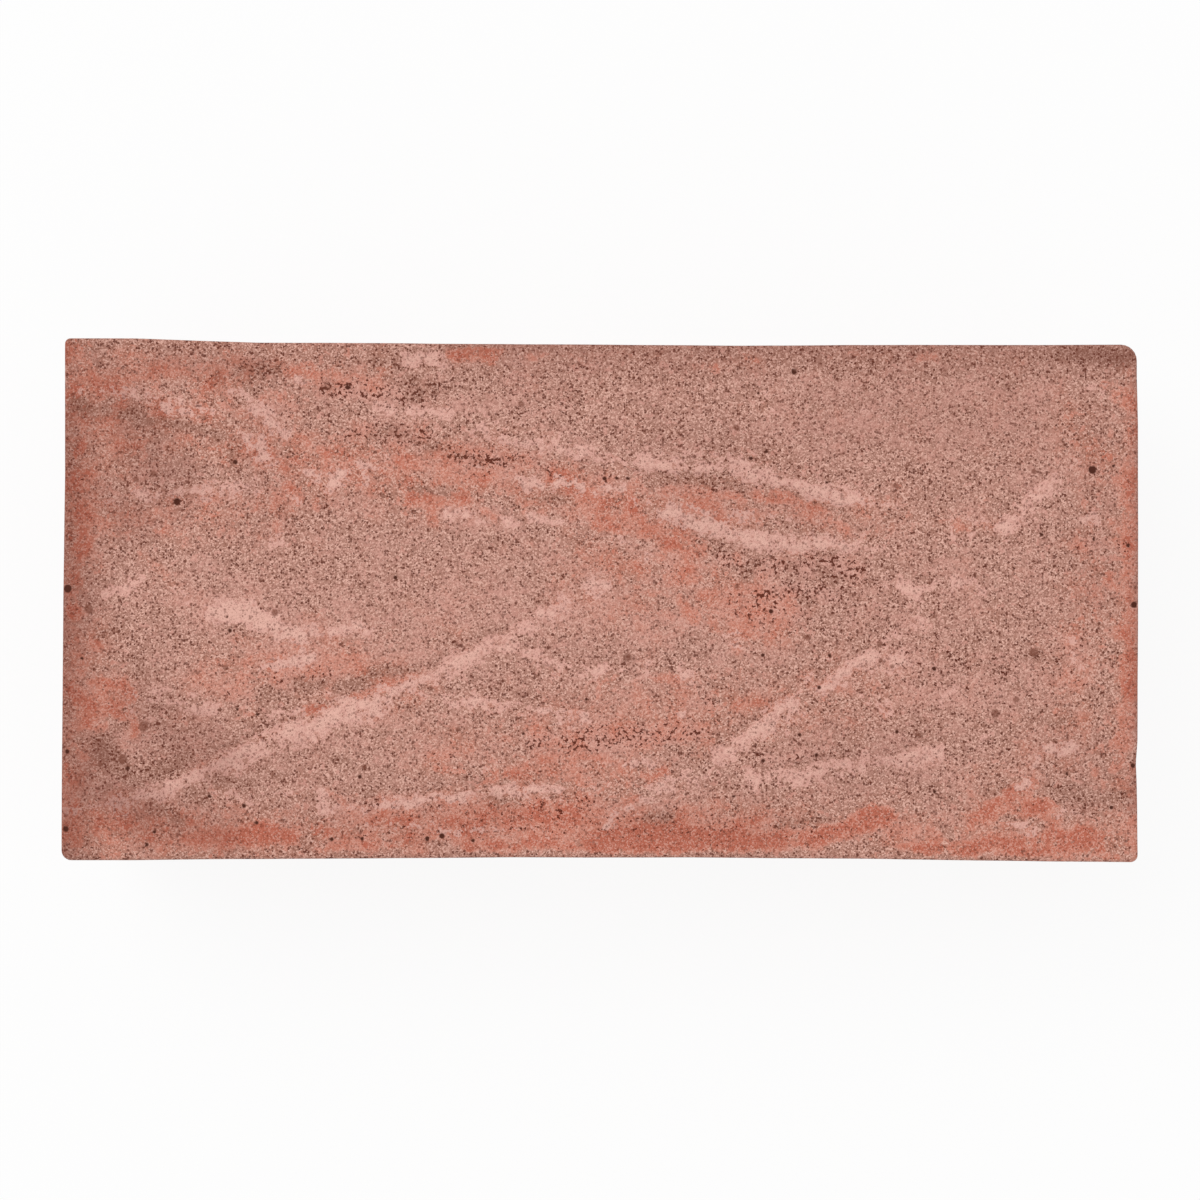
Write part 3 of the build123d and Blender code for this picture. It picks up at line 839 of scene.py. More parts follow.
class StudioSettings(bpy.types.PropertyGroup):
    """Camera, light and floor."""

    picture_width: length_property("Picture width", "Width of the picture at the moulded face", 266.1 * MM)
    lens: bpy.props.FloatProperty(name="Lens", description="Focal length in millimetres", default=85.0)
    sky: bpy.props.FloatProperty(name="Sky", description="Level of the light from all round", default=0.7)
    key: bpy.props.FloatProperty(
        name="Key", description="Level that the soft box adds on a white floor", default=0.3,
    )
    floor_shade: bpy.props.FloatProperty(
        name="Floor shade", description="Share of the floor's own shading that the picture shows",
        default=0.1, subtype="FACTOR",
    )


def deselect_all():
    """Leaves nothing selected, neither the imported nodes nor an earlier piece."""
    for piece in bpy.context.selected_objects:
        piece.select_set(False)


def read_vertices(mesh):
    """The places of a mesh's vertices, one row each."""
    places = np.empty(len(mesh.vertices) * 3)
    mesh.vertices.foreach_get("co", places)
    return places.reshape(-1, 3)


def read_normals(mesh):
    """Normals of a mesh's vertices."""
    normals = np.empty(len(mesh.vertices) * 3)
    mesh.vertices.foreach_get("normal", normals)
    return normals.reshape(-1, 3)


def read_polygons(mesh):
    """The middles and normals of a mesh's faces, one row each."""
    middles = np.empty(len(mesh.polygons) * 3)
    normals = np.empty(len(mesh.polygons) * 3)
    mesh.polygons.foreach_get("center", middles)
    mesh.polygons.foreach_get("normal", normals)
    return middles.reshape(-1, 3), normals.reshape(-1, 3)


def select_faces(piece, chosen):
    """Selects those faces alone, from object mode, and goes into edit mode."""
    mesh = piece.data
    mesh.vertices.foreach_set("select", np.zeros(len(mesh.vertices), bool))
    mesh.edges.foreach_set("select", np.zeros(len(mesh.edges), bool))
    mesh.polygons.foreach_set("select", chosen)
    bpy.ops.object.mode_set(mode="EDIT")


def bevel_edges(piece, chosen, radius, segments):
    """Rounds the edges whose two ends pass the test."""
    mesh = piece.data
    passed = chosen(read_vertices(mesh))
    ends = np.empty(len(mesh.edges) * 2, int)
    mesh.edges.foreach_get("vertices", ends)
    mesh.vertices.foreach_set("select", np.zeros(len(mesh.vertices), bool))
    mesh.polygons.foreach_set("select", np.zeros(len(mesh.polygons), bool))
    mesh.edges.foreach_set("select", passed[ends.reshape(-1, 2)].all(1))
    bpy.ops.object.mode_set(mode="EDIT")
    bpy.ops.mesh.bevel(offset=radius, segments=segments, affect="EDGES", profile=0.5)
    bpy.ops.object.mode_set(mode="OBJECT")


def rounded_block(sizes):
    """A block as long and wide as the struck bed's box, with its four corners and both rims rounded."""
    half = (CAD_HIGH - CAD_LOW) / 2
    deselect_all()
    bpy.ops.mesh.primitive_cube_add(size=1, location=(0, 0, half.z), scale=half * 2)
    block = bpy.context.active_object
    bpy.ops.object.transform_apply(location=True, rotation=True, scale=True)
    bpy.ops.object.mode_set(mode="EDIT")
    bpy.ops.mesh.select_mode(type="EDGE")
    bpy.ops.object.mode_set(mode="OBJECT")
    near = 0.01 * MM
    corners = {
        (-1, 1): sizes.back_left_radius,
        (1, 1): sizes.back_right_radius,
        (1, -1): sizes.front_right_radius,
        (-1, -1): sizes.front_left_radius,
    }
    for (along, across), radius in corners.items():
        corner = np.array((along * half.x, across * half.y))
        bevel_edges(block, lambda places, at=corner: np.abs(places[:, :2] - at).max(1) < near, radius, 6)
    bevel_edges(block, lambda places: places[:, 2] > sizes.height - near, sizes.moulded_arris, 4)
    bevel_edges(block, lambda places: places[:, 2] < near, sizes.struck_arris, 3)
    return block


def cut_into_cells(block, sizes):
    """Cuts the block into even cells, and those of the moulded face in half once more."""
    low, high = CAD_LOW, CAD_HIGH
    bpy.ops.object.mode_set(mode="EDIT")
    bpy.ops.mesh.select_mode(type="FACE")
    for axis in (2, 1, 0):
        span = high[axis] - low[axis]
        count = round(span / sizes.cell)
        normal = [float(axis == other) for other in range(3)]
        for step in range(1, count):
            place = [value * (low[axis] + span * step / count) for value in normal]
            bpy.ops.mesh.select_all(action="SELECT")
            bpy.ops.mesh.bisect(plane_co=place, plane_no=normal)
    bpy.ops.object.mode_set(mode="OBJECT")
    middles, normals = read_polygons(block.data)
    high_up = middles[:, 2] > sizes.height - 1.2 * sizes.moulded_arris
    select_faces(block, high_up & (normals[:, 2] > 0.5))
    bpy.ops.mesh.subdivide(number_cuts=1)
    bpy.ops.object.mode_set(mode="OBJECT")


def refine_round_spots(block, sizes):
    """Cuts the cells round each iron spot and lump finer, so that its edge is round."""
    middles, normals = read_polygons(block.data)
    near_a_spot = np.zeros(len(middles), bool)
    for x, y, radius in IRON_SPOTS + CLAY_LUMPS:
        apart = np.hypot(middles[:, 0] - x * MM, middles[:, 1] - y * MM)
        near_a_spot |= apart < radius * MM + 0.45 * sizes.cell
    near_a_spot &= normals[:, 2] > FACING
    select_faces(block, near_a_spot)
    bpy.ops.mesh.subdivide(number_cuts=2)
    bpy.ops.object.mode_set(mode="OBJECT")


def along_line(points, line):
    """How deep each point lies inside a line, its offset to the left and its share of the way along."""
    line = np.array(line, float)
    starts, ends = line[:-1], line[1:]
    lengths = np.hypot(*(ends - starts)[:, :2].T)
    travelled = np.concatenate(([0], np.cumsum(lengths)))
    best = np.full(len(points), -np.inf)
    offset = np.zeros(len(points))
    share = np.zeros(len(points))
    for start, end, length, before in zip(starts, ends, lengths, travelled):
        step = (end - start)[:2] / length
        apart = points - start[:2]
        run = np.clip(apart @ step, 0, length)
        side = apart[:, 1] * step[0] - apart[:, 0] * step[1]
        away = np.hypot(*(apart - run[:, None] * step).T)
        depth = start[2] + (end[2] - start[2]) * run / length - away
        closer = depth > best
        best = np.where(closer, depth, best)
        offset = np.where(closer, side, offset)
        share = np.where(closer, (before + run) / travelled[-1], share)
    return best, offset, share


def near_line(points, line, reach):
    """Which points lie within reach of the box round a line."""
    corners = np.array(line, float)[:, :2]
    widest = max(point[2] for point in line) + reach
    return ((points > corners.min(0) - widest) & (points < corners.max(0) + widest)).all(1)


def softstep(value):
    """A smooth rise from 0 to 1 as the value goes from 0 to 1."""
    value = np.clip(value, 0, 1)
    return value * value * (3 - 2 * value)


def coverage(points, marks, fade):
    """How strongly marks cover each point; an edge fades over so many millimetres to either side."""
    covered = np.zeros(len(points))
    for strength, lines in marks.items():
        for line in lines:
            near = near_line(points, line, fade)
            depth = along_line(points[near], line)[0]
            covered[near] = np.maximum(covered[near], strength * softstep((depth + fade) / (2 * fade)))
    return covered


def spot_depth(points, spots, reach):
    """How deep each point lies inside round spots, in millimetres, down to minus the reach."""
    depth = np.full(len(points), -reach)
    for x, y, radius in spots:
        depth = np.maximum(depth, radius - np.hypot(points[:, 0] - x, points[:, 1] - y))
    return depth


def across_fold(points, side, line):
    """How far each point lies to a fold's open side, the fold's half width there and its fading ends."""
    depth, offset, share = along_line(points, line)
    width = np.interp(share, np.linspace(0, 1, len(line)), [point[2] for point in line])
    ends = softstep(np.minimum(share, 1 - share) * 8) * softstep((depth + 5) / 2)
    return offset * side, width, ends


def drift(points, scale, seed):
    """Slow noise, about -1 to 1, at each row of points."""
    offset = Vector((17.3 * seed, -9.1 * seed, 5.7 * seed))
    return np.array([noise.noise(Vector(point) / scale + offset) for point in points])


def shape_outline(places, sizes):
    """Moves the block's vertices to the fired outline: uneven edges and walls that lean in."""
    half = (CAD_HIGH - CAD_LOW) / 2
    across = places[:, 1] / half.y
    along = places[:, 0] / half.x
    x, y = places[:, 0] / MM, places[:, 1] / MM
    left = np.interp(y, *np.transpose(LEFT_END)) * MM
    right = np.interp(y, *np.transpose(RIGHT_END)) * MM
    front = np.interp(x, *np.transpose(FRONT_EDGE)) * MM
    back = np.interp(x, *np.transpose(BACK_EDGE)) * MM
    spread = math.tan(sizes.mould_draft) * (sizes.height - places[:, 2])
    places[:, 0] = (left + right) / 2 + along * ((right - left) / 2 + spread)
    places[:, 1] = (front + back) / 2 + across * ((back - front) / 2 + spread)


def fold_relief(points, folds, sizes):
    """Rise of a face at each point, for its folds."""
    rise = np.zeros(len(points))
    for side, strength, line in folds:
        near = near_line(points, line, FOLD_REACH)
        across, width, ends = across_fold(points[near], side, line)
        lip = np.exp(-(((across - 0.2 * width) / (1.1 * width)) ** 2))
        crease = np.exp(-(((across - width - CREASE_GAP) / CREASE_WIDTH) ** 2))
        rise[near] += strength * ends * (sizes.lip_height * lip - sizes.fold_depth * crease)
    return rise


def fold_marks(points, folds):
    """How far inside a fold's clean lip each point lies, and the painted shade beside the lips."""
    clean = np.full(len(points), -PALE_REACH)
    packed_sand_and_shade = np.zeros(len(points))
    for side, strength, line in folds:
        near = near_line(points, line, FOLD_REACH)
        across, width, ends = across_fold(points[near], side, line)
        lip = np.minimum(width - across, 0.6 * (across + width + 1.2))
        lip -= PALE_LOSS * (1 - strength * ends)
        # Painted shade just past the lip, where its crease lies
        beside = np.exp(-(((across - width - FOLD_SHADE_GAP) / FOLD_SHADE_WIDTH) ** 2))
        clean[near] = np.maximum(clean[near], lip)
        packed_sand_and_shade[near] = np.maximum(packed_sand_and_shade[near], FOLD_SHADE_DARKNESS * strength * ends * beside)
    return clean, packed_sand_and_shade


def pale_depth(points):
    """How far inside the pale clay away from the folds each point lies; less so where it is less clean."""
    inside = np.full(len(points), -PALE_REACH)
    for strength, lines in PALE_CLAY.items():
        for line in lines:
            near = near_line(points, line, PALE_REACH)
            depth = along_line(points[near], line)[0] - PALE_LOSS * (1 - strength)
            inside[near] = np.maximum(inside[near], depth)
    return inside


def wall_points(places, normals):
    """The vertices on each wall, and how far along and up it each lies, seen from outside."""
    walls = {"front": (0, -1, 1), "back": (0, 1, -1), "left": (-1, 0, -1), "right": (1, 0, 1)}
    for wall, (toward_x, toward_y, turn) in walls.items():
        on_wall = normals[:, 0] * toward_x + normals[:, 1] * toward_y > FACING
        run = places[on_wall, 0] * abs(toward_y) + places[on_wall, 1] * abs(toward_x)
        yield wall, on_wall, np.column_stack((run * turn, places[on_wall, 2]))


def sculpt(block, sizes):
    """Gives the block its fired outline, its folds, spots and lumps, and its slow unevenness."""
    mesh = block.data
    places = read_vertices(mesh)
    shape_outline(places, sizes)
    mesh.vertices.foreach_set("co", places.ravel())
    mesh.update()
    normals = read_normals(mesh)
    points = places[:, :2] / MM
    upward = np.clip(normals[:, 2], 0, 1) * (places[:, 2] > sizes.height - 2 * sizes.moulded_arris)
    uneven = drift(places / MM, 26, 1) + 0.4 * drift(places / MM, 7, 2)
    rim = np.clip((places[:, 2] / MM) / 3, 0, 1)
    rise = sizes.waviness * uneven * rim * (1 - 0.6 * (np.abs(normals[:, 2]) < 0.5))
    rise += upward * fold_relief(points, FOLDS.values(), sizes)
    rise -= upward * sizes.spot_relief * softstep(spot_depth(points, IRON_SPOTS, 1.0) / 0.4 + 0.5)
    rise += upward * sizes.spot_relief * softstep(spot_depth(points, CLAY_LUMPS, 1.0) / 0.5 + 0.5)
    for wall, on_wall, spots in wall_points(places / MM, normals):
        rise[on_wall] += fold_relief(spots, WALL_FOLDS[wall], sizes)
    places += normals * rise[:, None]
    places[:, 2] = np.clip(places[:, 2], 0, None)
    mesh.vertices.foreach_set("co", places.ravel())
    mesh.update()


def write_marks(block):
    """Writes how strongly each kind of mark covers each vertex, or how deep the vertex lies inside it."""
    mesh = block.data
    places = read_vertices(mesh) / MM
    points = places[:, :2]
    warp = np.column_stack([drift(places, 5, seed) + 0.5 * drift(places, 2.2, seed + 2) for seed in (3, 4)])
    warped = points + 0.9 * warp
    # The folds give their clean lips, and painted shade beside them
    clean, packed_sand_and_shade = fold_marks(points + 0.8 * warp, FOLDS.values())
    red = 1.2 * coverage(warped, RED_CLAY, RED_FADE)
    glow = 0.75 * coverage(warped, RED_CLAY, GLOW_FADE)
    darker_areas = coverage(points, DARKER_AREAS, BROAD_FADE)
    # Painted shade along the back and right arrises
    arris_shade = coverage(points, ARRIS_SHADE, ARRIS_SHADE_FADE)
    top = {
        "red_clay": np.maximum(red, glow),
        "blush": coverage(points, BLUSH_AREAS, BROAD_FADE),
        "pale_clay": np.maximum(clean, pale_depth(warped)),
        # Dark sand, with painted shade beside the folds' lips
        "dark_sand_and_fold_shade": np.maximum(packed_sand_and_shade, coverage(warped, DARK_SAND_AND_FOLD_SHADE, SAND_FADE)),
        "pitted": coverage(warped, PITTED, PIT_FADE),
        "sandy_rim": coverage(points + 0.4 * warp, SANDY_RIM, RIM_FADE),
        "lean_sand": coverage(points, LEAN_SAND, BROAD_FADE),
        "darkening_and_arris_shade": np.maximum(darker_areas, arris_shade),
    }
    lying = places / (3, 3, 1)
    streaks = drift(lying, 9, 9)
    patches = drift(lying, 14, 7) + 0.5 * drift(places / (2, 2, 1), 5, 8)
    walls = {
        "red_clay": np.clip(1.3 * patches - 0.2, 0, 0.75),
        "blush": np.clip(0.25 + 0.6 * patches, 0, 0.6),
        "pale_clay": np.clip(5.0 * streaks - 2.2, -PALE_REACH, 1.0),
        "dark_sand_and_fold_shade": np.clip(-0.9 * patches - 0.3, 0, 0.6),
        "pitted": np.clip(-1.6 * streaks - 0.4, 0, 0.8),
        "darkening_and_arris_shade": np.clip(-0.6 * drift(places, 30, 10), 0, 0.4),
    }
    for wall, on_wall, spots in wall_points(places, read_normals(mesh)):
        # Clean lips of the wall folds, and painted shade beside them
        lips, beside = fold_marks(spots + 0.8 * warp[on_wall], WALL_FOLDS[wall])
        walls["pale_clay"][on_wall] = np.maximum(walls["pale_clay"][on_wall], lips)
        walls["dark_sand_and_fold_shade"][on_wall] = np.maximum(walls["dark_sand_and_fold_shade"][on_wall], beside)
    on_top = softstep((places[:, 2] - (CAD_HIGH.z / MM - MARKS_END)) / MARKS_FADE)
    layers = {kind: on_top * value + (1 - on_top) * walls.get(kind, 0.0) for kind, value in top.items()}
    layers["cracks"] = coverage(points + 0.25 * warp, CRACKS, CRACK_FADE)
    layers["iron_spots"] = spot_depth(points + 0.2 * warp, IRON_SPOTS, 2.0)
    layers["clay_lumps"] = spot_depth(points + 0.3 * warp, CLAY_LUMPS, 2.0)
    for kind in ("cracks", "iron_spots", "clay_lumps"):
        layers[kind] = np.where(on_top > 0.5, layers[kind], layers[kind].min())
    for kind, value in layers.items():
        layer = mesh.attributes.new(kind, "FLOAT", "POINT")
        layer.data.foreach_set("value", value.astype(np.float32))


def feed(tree, socket, value):
    """Sets an input to a value, or links it to another node's output."""
    if isinstance(value, bpy.types.NodeSocket):
        tree.links.new(value, socket)
    else:
        socket.default_value = value


def node(tree, kind, **sockets):
    """Adds a node and feeds the inputs that are named, by name or as _ and a number."""
    made = tree.nodes.new(kind)
    for name, value in sockets.items():
        socket = made.inputs[int(name[1:])] if name[0] == "_" else made.inputs[name.replace("_", " ")]
        feed(tree, socket, value)
    return made


def colour(value):
    """A colour property as a node colour."""
    return (*value, 1.0)


def math_node(tree, operation, first, second, clamp=False):
    """The result of a Math node."""
    made = node(tree, "ShaderNodeMath", _0=first, _1=second)
    made.operation = operation
    made.use_clamp = clamp
    return made.outputs[0]


def weighted_sum(tree, start, terms):
    """A number plus each value times its weight."""
    total = start
    for weight, value in terms:
        made = node(tree, "ShaderNodeMath", _0=value, _1=weight, _2=total)
        made.operation = "MULTIPLY_ADD"
        total = made.outputs[0]
    return total


def ramp(tree, value, low, high, out_low=0.0, out_high=1.0):
    """A value taken smoothly from one range to another."""
    made = node(tree, "ShaderNodeMapRange", Value=value)
    made.interpolation_type = "SMOOTHSTEP"
    made.inputs["From Min"].default_value = low
    made.inputs["From Max"].default_value = high
    made.inputs["To Min"].default_value = out_low
    made.inputs["To Max"].default_value = out_high
    return made.outputs["Result"]


def noise_value(tree, where, scale, detail, roughness=0.5):
    """Noise, from 0 to 1, at that many waves a millimetre."""
    made = node(tree, "ShaderNodeTexNoise", Vector=where, Scale=scale, Detail=detail, Roughness=roughness)
    return made.outputs[0]


def centred_noise(tree, where, scale, detail, roughness):
    """Noise about 0."""
    return math_node(tree, "SUBTRACT", noise_value(tree, where, scale, detail, roughness), 0.5)


def grain_cells(tree, where, scale):
    """Round grains, so many a millimetre: the distance to a grain's middle, and the grain's own number."""
    made = node(tree, "ShaderNodeTexVoronoi", Vector=where, Scale=scale)
    own = node(tree, "ShaderNodeSeparateColor", Color=made.outputs["Color"])
    return made.outputs["Distance"], own.outputs[0]


def mixed(tree, share, first, second):
    """One colour mixed with another."""
    made = tree.nodes.new("ShaderNodeMix")
    made.data_type = "RGBA"
    for socket, value in ((made.inputs[0], share), (made.inputs[6], first), (made.inputs[7], second)):
        feed(tree, socket, value)
    return made.outputs[2]


def colour_ramp(tree, value, stops):
    """A colour between those of the stops, each written as its place from 0 to 1 and its colour."""
    made = node(tree, "ShaderNodeValToRGB", Fac=value)
    stretch = made.color_ramp.elements
    while len(stretch) < len(stops):
        stretch.new(1.0)
    for element, (place, shade) in zip(stretch, stops):
        element.position = place
        element.color = shade
    return made.outputs["Color"]


def new_group(name, inputs, outputs):
    """An empty shader node group with those sockets, and its two end nodes."""
    group = bpy.data.node_groups.new(name, "ShaderNodeTree")
    for socket, kind in inputs.items():
        group.interface.new_socket(socket, in_out="INPUT", socket_type=kind)
    for socket, kind in outputs.items():
        group.interface.new_socket(socket, in_out="OUTPUT", socket_type=kind)
    return group, group.nodes.new("NodeGroupInput"), group.nodes.new("NodeGroupOutput")


def place_group(tree, group, **sockets):
    """A node group placed in a tree, with its inputs fed by name."""
    made = tree.nodes.new("ShaderNodeGroup")
    made.node_tree = group
    for name, value in sockets.items():
        feed(tree, made.inputs[name], value)
    return made


def sand_group(colours):
    """Sand pressed into clay, at a place in millimetres: light and dark grains, and pits."""
    group, start, end = new_group(
        "Sand in clay",
        {
            "Place": "NodeSocketVector", "Clay": "NodeSocketColor", "Sand": "NodeSocketFloat",
            "Pitted": "NodeSocketFloat",
        },
        {"Surface": "NodeSocketColor", "Height": "NodeSocketFloat"},
    )
    place, sand = start.outputs["Place"], start.outputs["Sand"]

    # Sand's own tint, then the shade of each grain
    dome, tone = grain_cells(group, place, GRAINS)
    share = math_node(group, "MULTIPLY", sand, 0.65, clamp=True)
    surface = mixed(group, share, start.outputs["Clay"], colour(colours.sand))
    contrast = math_node(group, "MINIMUM", weighted_sum(group, 0.52, ((0.42, sand),)), 1.0)
    shade = math_node(group, "MULTIPLY", ramp(group, tone, 0.42, -0.2), contrast)
    surface = mixed(group, shade, surface, colour(colours.grain))
    light = math_node(group, "MULTIPLY", ramp(group, tone, 0.5, 1.0), contrast)
    surface = mixed(group, light, surface, colour(colours.glint))

    # Single dark grains, each of its own size
    middle, size = grain_cells(group, place, DARK_GRAINS)
    size = weighted_sum(group, ramp(group, size, 0.64, 1.0, 0.1, 0.78), ((-1.0, middle),))
    dark = math_node(group, "MULTIPLY", size, 6.0, clamp=True)
    dark = math_node(group, "MULTIPLY", dark, weighted_sum(group, 0.45, ((0.38, sand),)), clamp=True)
    surface = mixed(group, dark, surface, colour(colours.pit))

    # Pits
    pits = noise_value(group, place, PITS, 2.0, 0.6)
    pits = weighted_sum(group, -PIT_LEVEL, ((0.134, start.outputs["Pitted"]), (1.0, pits)))
    pits = math_node(group, "MULTIPLY", pits, PIT_EDGE, clamp=True)
    surface = mixed(group, math_node(group, "MULTIPLY", pits, 0.95), surface, colour(colours.pit))
    group.links.new(surface, end.inputs["Surface"])
    height = weighted_sum(group, 0.0, ((-1.0, dome), (-1.0, pits)))
    group.links.new(height, end.inputs["Height"])
    return group


def new_material(name):
    """An empty material with its shader, and the place on the piece in millimetres."""
    material = bpy.data.materials.new(name)
    material.use_nodes = True
    tree = material.node_tree
    shader = tree.nodes["Principled BSDF"]
    shader.inputs["Specular IOR Level"].default_value = CLAY_SPECULAR
    shader.inputs["Roughness"].default_value = CLAY_ROUGHNESS
    coordinates = tree.nodes.new("ShaderNodeTexCoord")
    place = node(tree, "ShaderNodeMapping", Vector=coordinates.outputs["Object"])
    place.inputs["Scale"].default_value = (1 / MM, 1 / MM, 1 / MM)
    return material, tree, shader, place.outputs["Vector"]


def attribute(tree, name):
    """The value of one of the piece's own attributes."""
    made = tree.nodes.new("ShaderNodeAttribute")
    made.attribute_name = name
    return made.outputs["Fac"]


def moulded_clay(colours, sand_effect):
    """The moulded face and the walls: sanded clay with its marks."""
    material, tree, shader, place = new_material("moulded clay")
    drawn = node(tree, "ShaderNodeMapping", Vector=place)
    drawn.inputs["Scale"].default_value = (0.65, 1.0, 1.0)
    cloud = centred_noise(tree, drawn.outputs["Vector"], 0.2, 5.0, 0.7)
    tint = centred_noise(tree, place, 0.2, 5.0, 0.62)
    ragged = centred_noise(tree, place, 0.6, 2.5, 0.66)
    # Dark sand, with painted shade beside the folds' lips
    pale_clay = attribute(tree, "pale_clay")
    dark_sand_and_fold_shade = attribute(tree, "dark_sand_and_fold_shade")
    red_clay = attribute(tree, "red_clay")
    rim = attribute(tree, "sandy_rim")

    # Clay under the sand, by how red it is
    uneven = weighted_sum(tree, 1.0, ((2.2, tint), (1.2, ragged)))
    red = math_node(tree, "MULTIPLY", red_clay, uneven)
    uneven = weighted_sum(tree, 1.0, ((3.0, tint), (1.0, ragged)))
    blush = math_node(tree, "MULTIPLY", attribute(tree, "blush"), uneven)
    redness = math_node(tree, "MAXIMUM", red, blush)
    redness = math_node(tree, "ADD", redness, ramp(tree, tint, -0.05, 0.25, 0.0, 0.3), clamp=True)
    stops = (
        (0.0, colour(colours.ground)), (0.25, colour(colours.blush)), (0.5, colour(colours.salmon)),
        (0.75, colour(colours.red)), (1.0, colour(colours.deep_red)),
    )
    clay = colour_ramp(tree, redness, stops)
    pale = weighted_sum(tree, 0.0, ((1.0, pale_clay), (-5.5, cloud), (8.5, ragged)))
    crest = ramp(tree, pale, 0.6, 1.6, 0.0, 0.6)
    pale = ramp(tree, pale, -0.2, 0.2)
    clay = mixed(tree, pale, clay, colour(colours.pale))
    clay = mixed(tree, crest, clay, colour(colours.glint))

    # How much sand lies in it
    flecks = noise_value(tree, place, 0.6, 2.0, 0.55)
    more = ((0.02, pale_clay), (0.05, blush), (-0.06, dark_sand_and_fold_shade))
    flecks = weighted_sum(tree, -0.56, ((1.0, flecks), *more))
    torn = math_node(tree, "MULTIPLY", red_clay, weighted_sum(tree, 1.0, ((1.6, tint), (4.5, ragged))))
    bare = math_node(tree, "MAXIMUM", ramp(tree, torn, 0.32, 0.6), ramp(tree, flecks, 0.0, 0.04))
    lean = attribute(tree, "lean_sand")
    pitted = attribute(tree, "pitted")
    less = ((-0.75, pale), (-0.6, bare), (-0.25, lean), (-0.3, pitted), (-0.35, blush))
    sand = weighted_sum(tree, 0.7, ((1.1, cloud), (0.8, ragged), (0.3, dark_sand_and_fold_shade), (0.2, rim), *less))
    sand = weighted_sum(tree, ramp(tree, sand, 0.25, 0.75), ((0.3, dark_sand_and_fold_shade), (0.3, cloud)))
    pitted = weighted_sum(tree, 0.0, ((1.0, pitted), (1.5, cloud)))
    effect = place_group(tree, sand_effect, Place=place, Clay=clay, Sand=sand, Pitted=pitted)

    # Dark sand with painted shade beside the folds' lips, then darker areas with painted shade along the
    # arrises, then what lies in the clay
    packed_sand_and_shade = math_node(tree, "MULTIPLY", dark_sand_and_fold_shade, 0.3)
    surface = mixed(tree, packed_sand_and_shade, effect.outputs["Surface"], colour(colours.grain))
    # Darker areas, and painted shade along the back and right arrises
    darkening_and_arris_shade = math_node(tree, "MULTIPLY", attribute(tree, "darkening_and_arris_shade"), 0.5)
    surface = mixed(tree, darkening_and_arris_shade, surface, colour(colours.darkening_and_shade))
    cracks = ramp(tree, attribute(tree, "cracks"), 0.3, 0.7, 0.0, 0.8)
    surface = mixed(tree, cracks, surface, colour(colours.pit))
    lumps = ramp(tree, attribute(tree, "clay_lumps"), -0.25, 0.25, 0.0, 0.7)
    surface = mixed(tree, lumps, surface, colour(colours.lump))
    spots = ramp(tree, attribute(tree, "iron_spots"), -0.22, 0.15)
    surface = mixed(tree, spots, surface, colour(colours.iron))
    tree.links.new(surface, shader.inputs["Base Color"])

    bump = node(tree, "ShaderNodeBump", Strength=0.5, Distance=GRAIN_RELIEF, Height=effect.outputs["Height"])
    tree.links.new(bump.outputs["Normal"], shader.inputs["Normal"])
    return material


def struck_clay(colours, sand_effect):
    """The struck bed: clay dragged along by the strike, with torn pits."""
    material, tree, shader, place = new_material("struck clay")
    drawn = node(tree, "ShaderNodeMapping", Vector=place)
    drawn.inputs["Scale"].default_value = (0.06, 1.0, 1.0)
    drag = noise_value(tree, drawn.outputs["Vector"], 0.7, 4.0, 0.65)
    patchy = noise_value(tree, place, 0.06, 3.0)
    clay = mixed(tree, ramp(tree, patchy, 0.35, 0.65), colour(colours.salmon), colour(colours.red))
    clay = mixed(tree, ramp(tree, drag, 0.5, 0.7), clay, colour(colours.blush))
    sand = ramp(tree, drag, 0.35, 0.65, 0.7, 0.2)
    pitted = ramp(tree, patchy, 0.4, 0.7)
    effect = place_group(tree, sand_effect, Place=place, Clay=clay, Sand=sand, Pitted=pitted)
    tree.links.new(effect.outputs["Surface"], shader.inputs["Base Color"])
    height = math_node(tree, "ADD", effect.outputs["Height"], math_node(tree, "MULTIPLY", drag, 2.0))
    bump = node(tree, "ShaderNodeBump", Strength=0.6, Distance=GRAIN_RELIEF, Height=height)
    tree.links.new(bump.outputs["Normal"], shader.inputs["Normal"])
    return material


def finish_surface(block, colours):
    """Gives the moulded face, the walls and the struck bed their clay."""
    sand_effect = sand_group(colours)
    block.data.materials.append(moulded_clay(colours, sand_effect))
    block.data.materials.append(struck_clay(colours, sand_effect))
    normals = read_polygons(block.data)[1]
    struck = (normals[:, 2] < -0.5).astype(np.int32)
    block.data.polygons.foreach_set("material_index", struck)


class BRICK_OT_mould_body(bpy.types.Operator):
    """Mould the brick: its block, folds, marks and clay"""

    bl_idname = "brick.mould_body"
    bl_label = "Mould brick"

    def execute(self, context):
        sizes = context.scene.brick_sizes
        body = rounded_block(sizes)
        body.name = "brick_body"
        body.data.name = "brick_body"
        cut_into_cells(body, sizes)
        refine_round_spots(body, sizes)
        sculpt(body, sizes)
        write_marks(body)
        finish_surface(body, context.scene.clay_colours)
        deselect_all()
        body.select_set(True)
        context.view_layer.objects.active = body
        bpy.ops.object.shade_smooth()
        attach(body, BODY)
        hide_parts(NODE)
        return {"FINISHED"}


def seen_plainly(tree):
    """1 for what the camera sees, straight or through a reflection, and 0 for light on its way."""
    rays = tree.nodes.new("ShaderNodeLightPath")
    seen = math_node(tree, "MAXIMUM", rays.outputs["Is Camera Ray"], rays.outputs["Is Glossy Ray"])
    return math_node(tree, "MAXIMUM", seen, rays.outputs["Is Transmission Ray"])


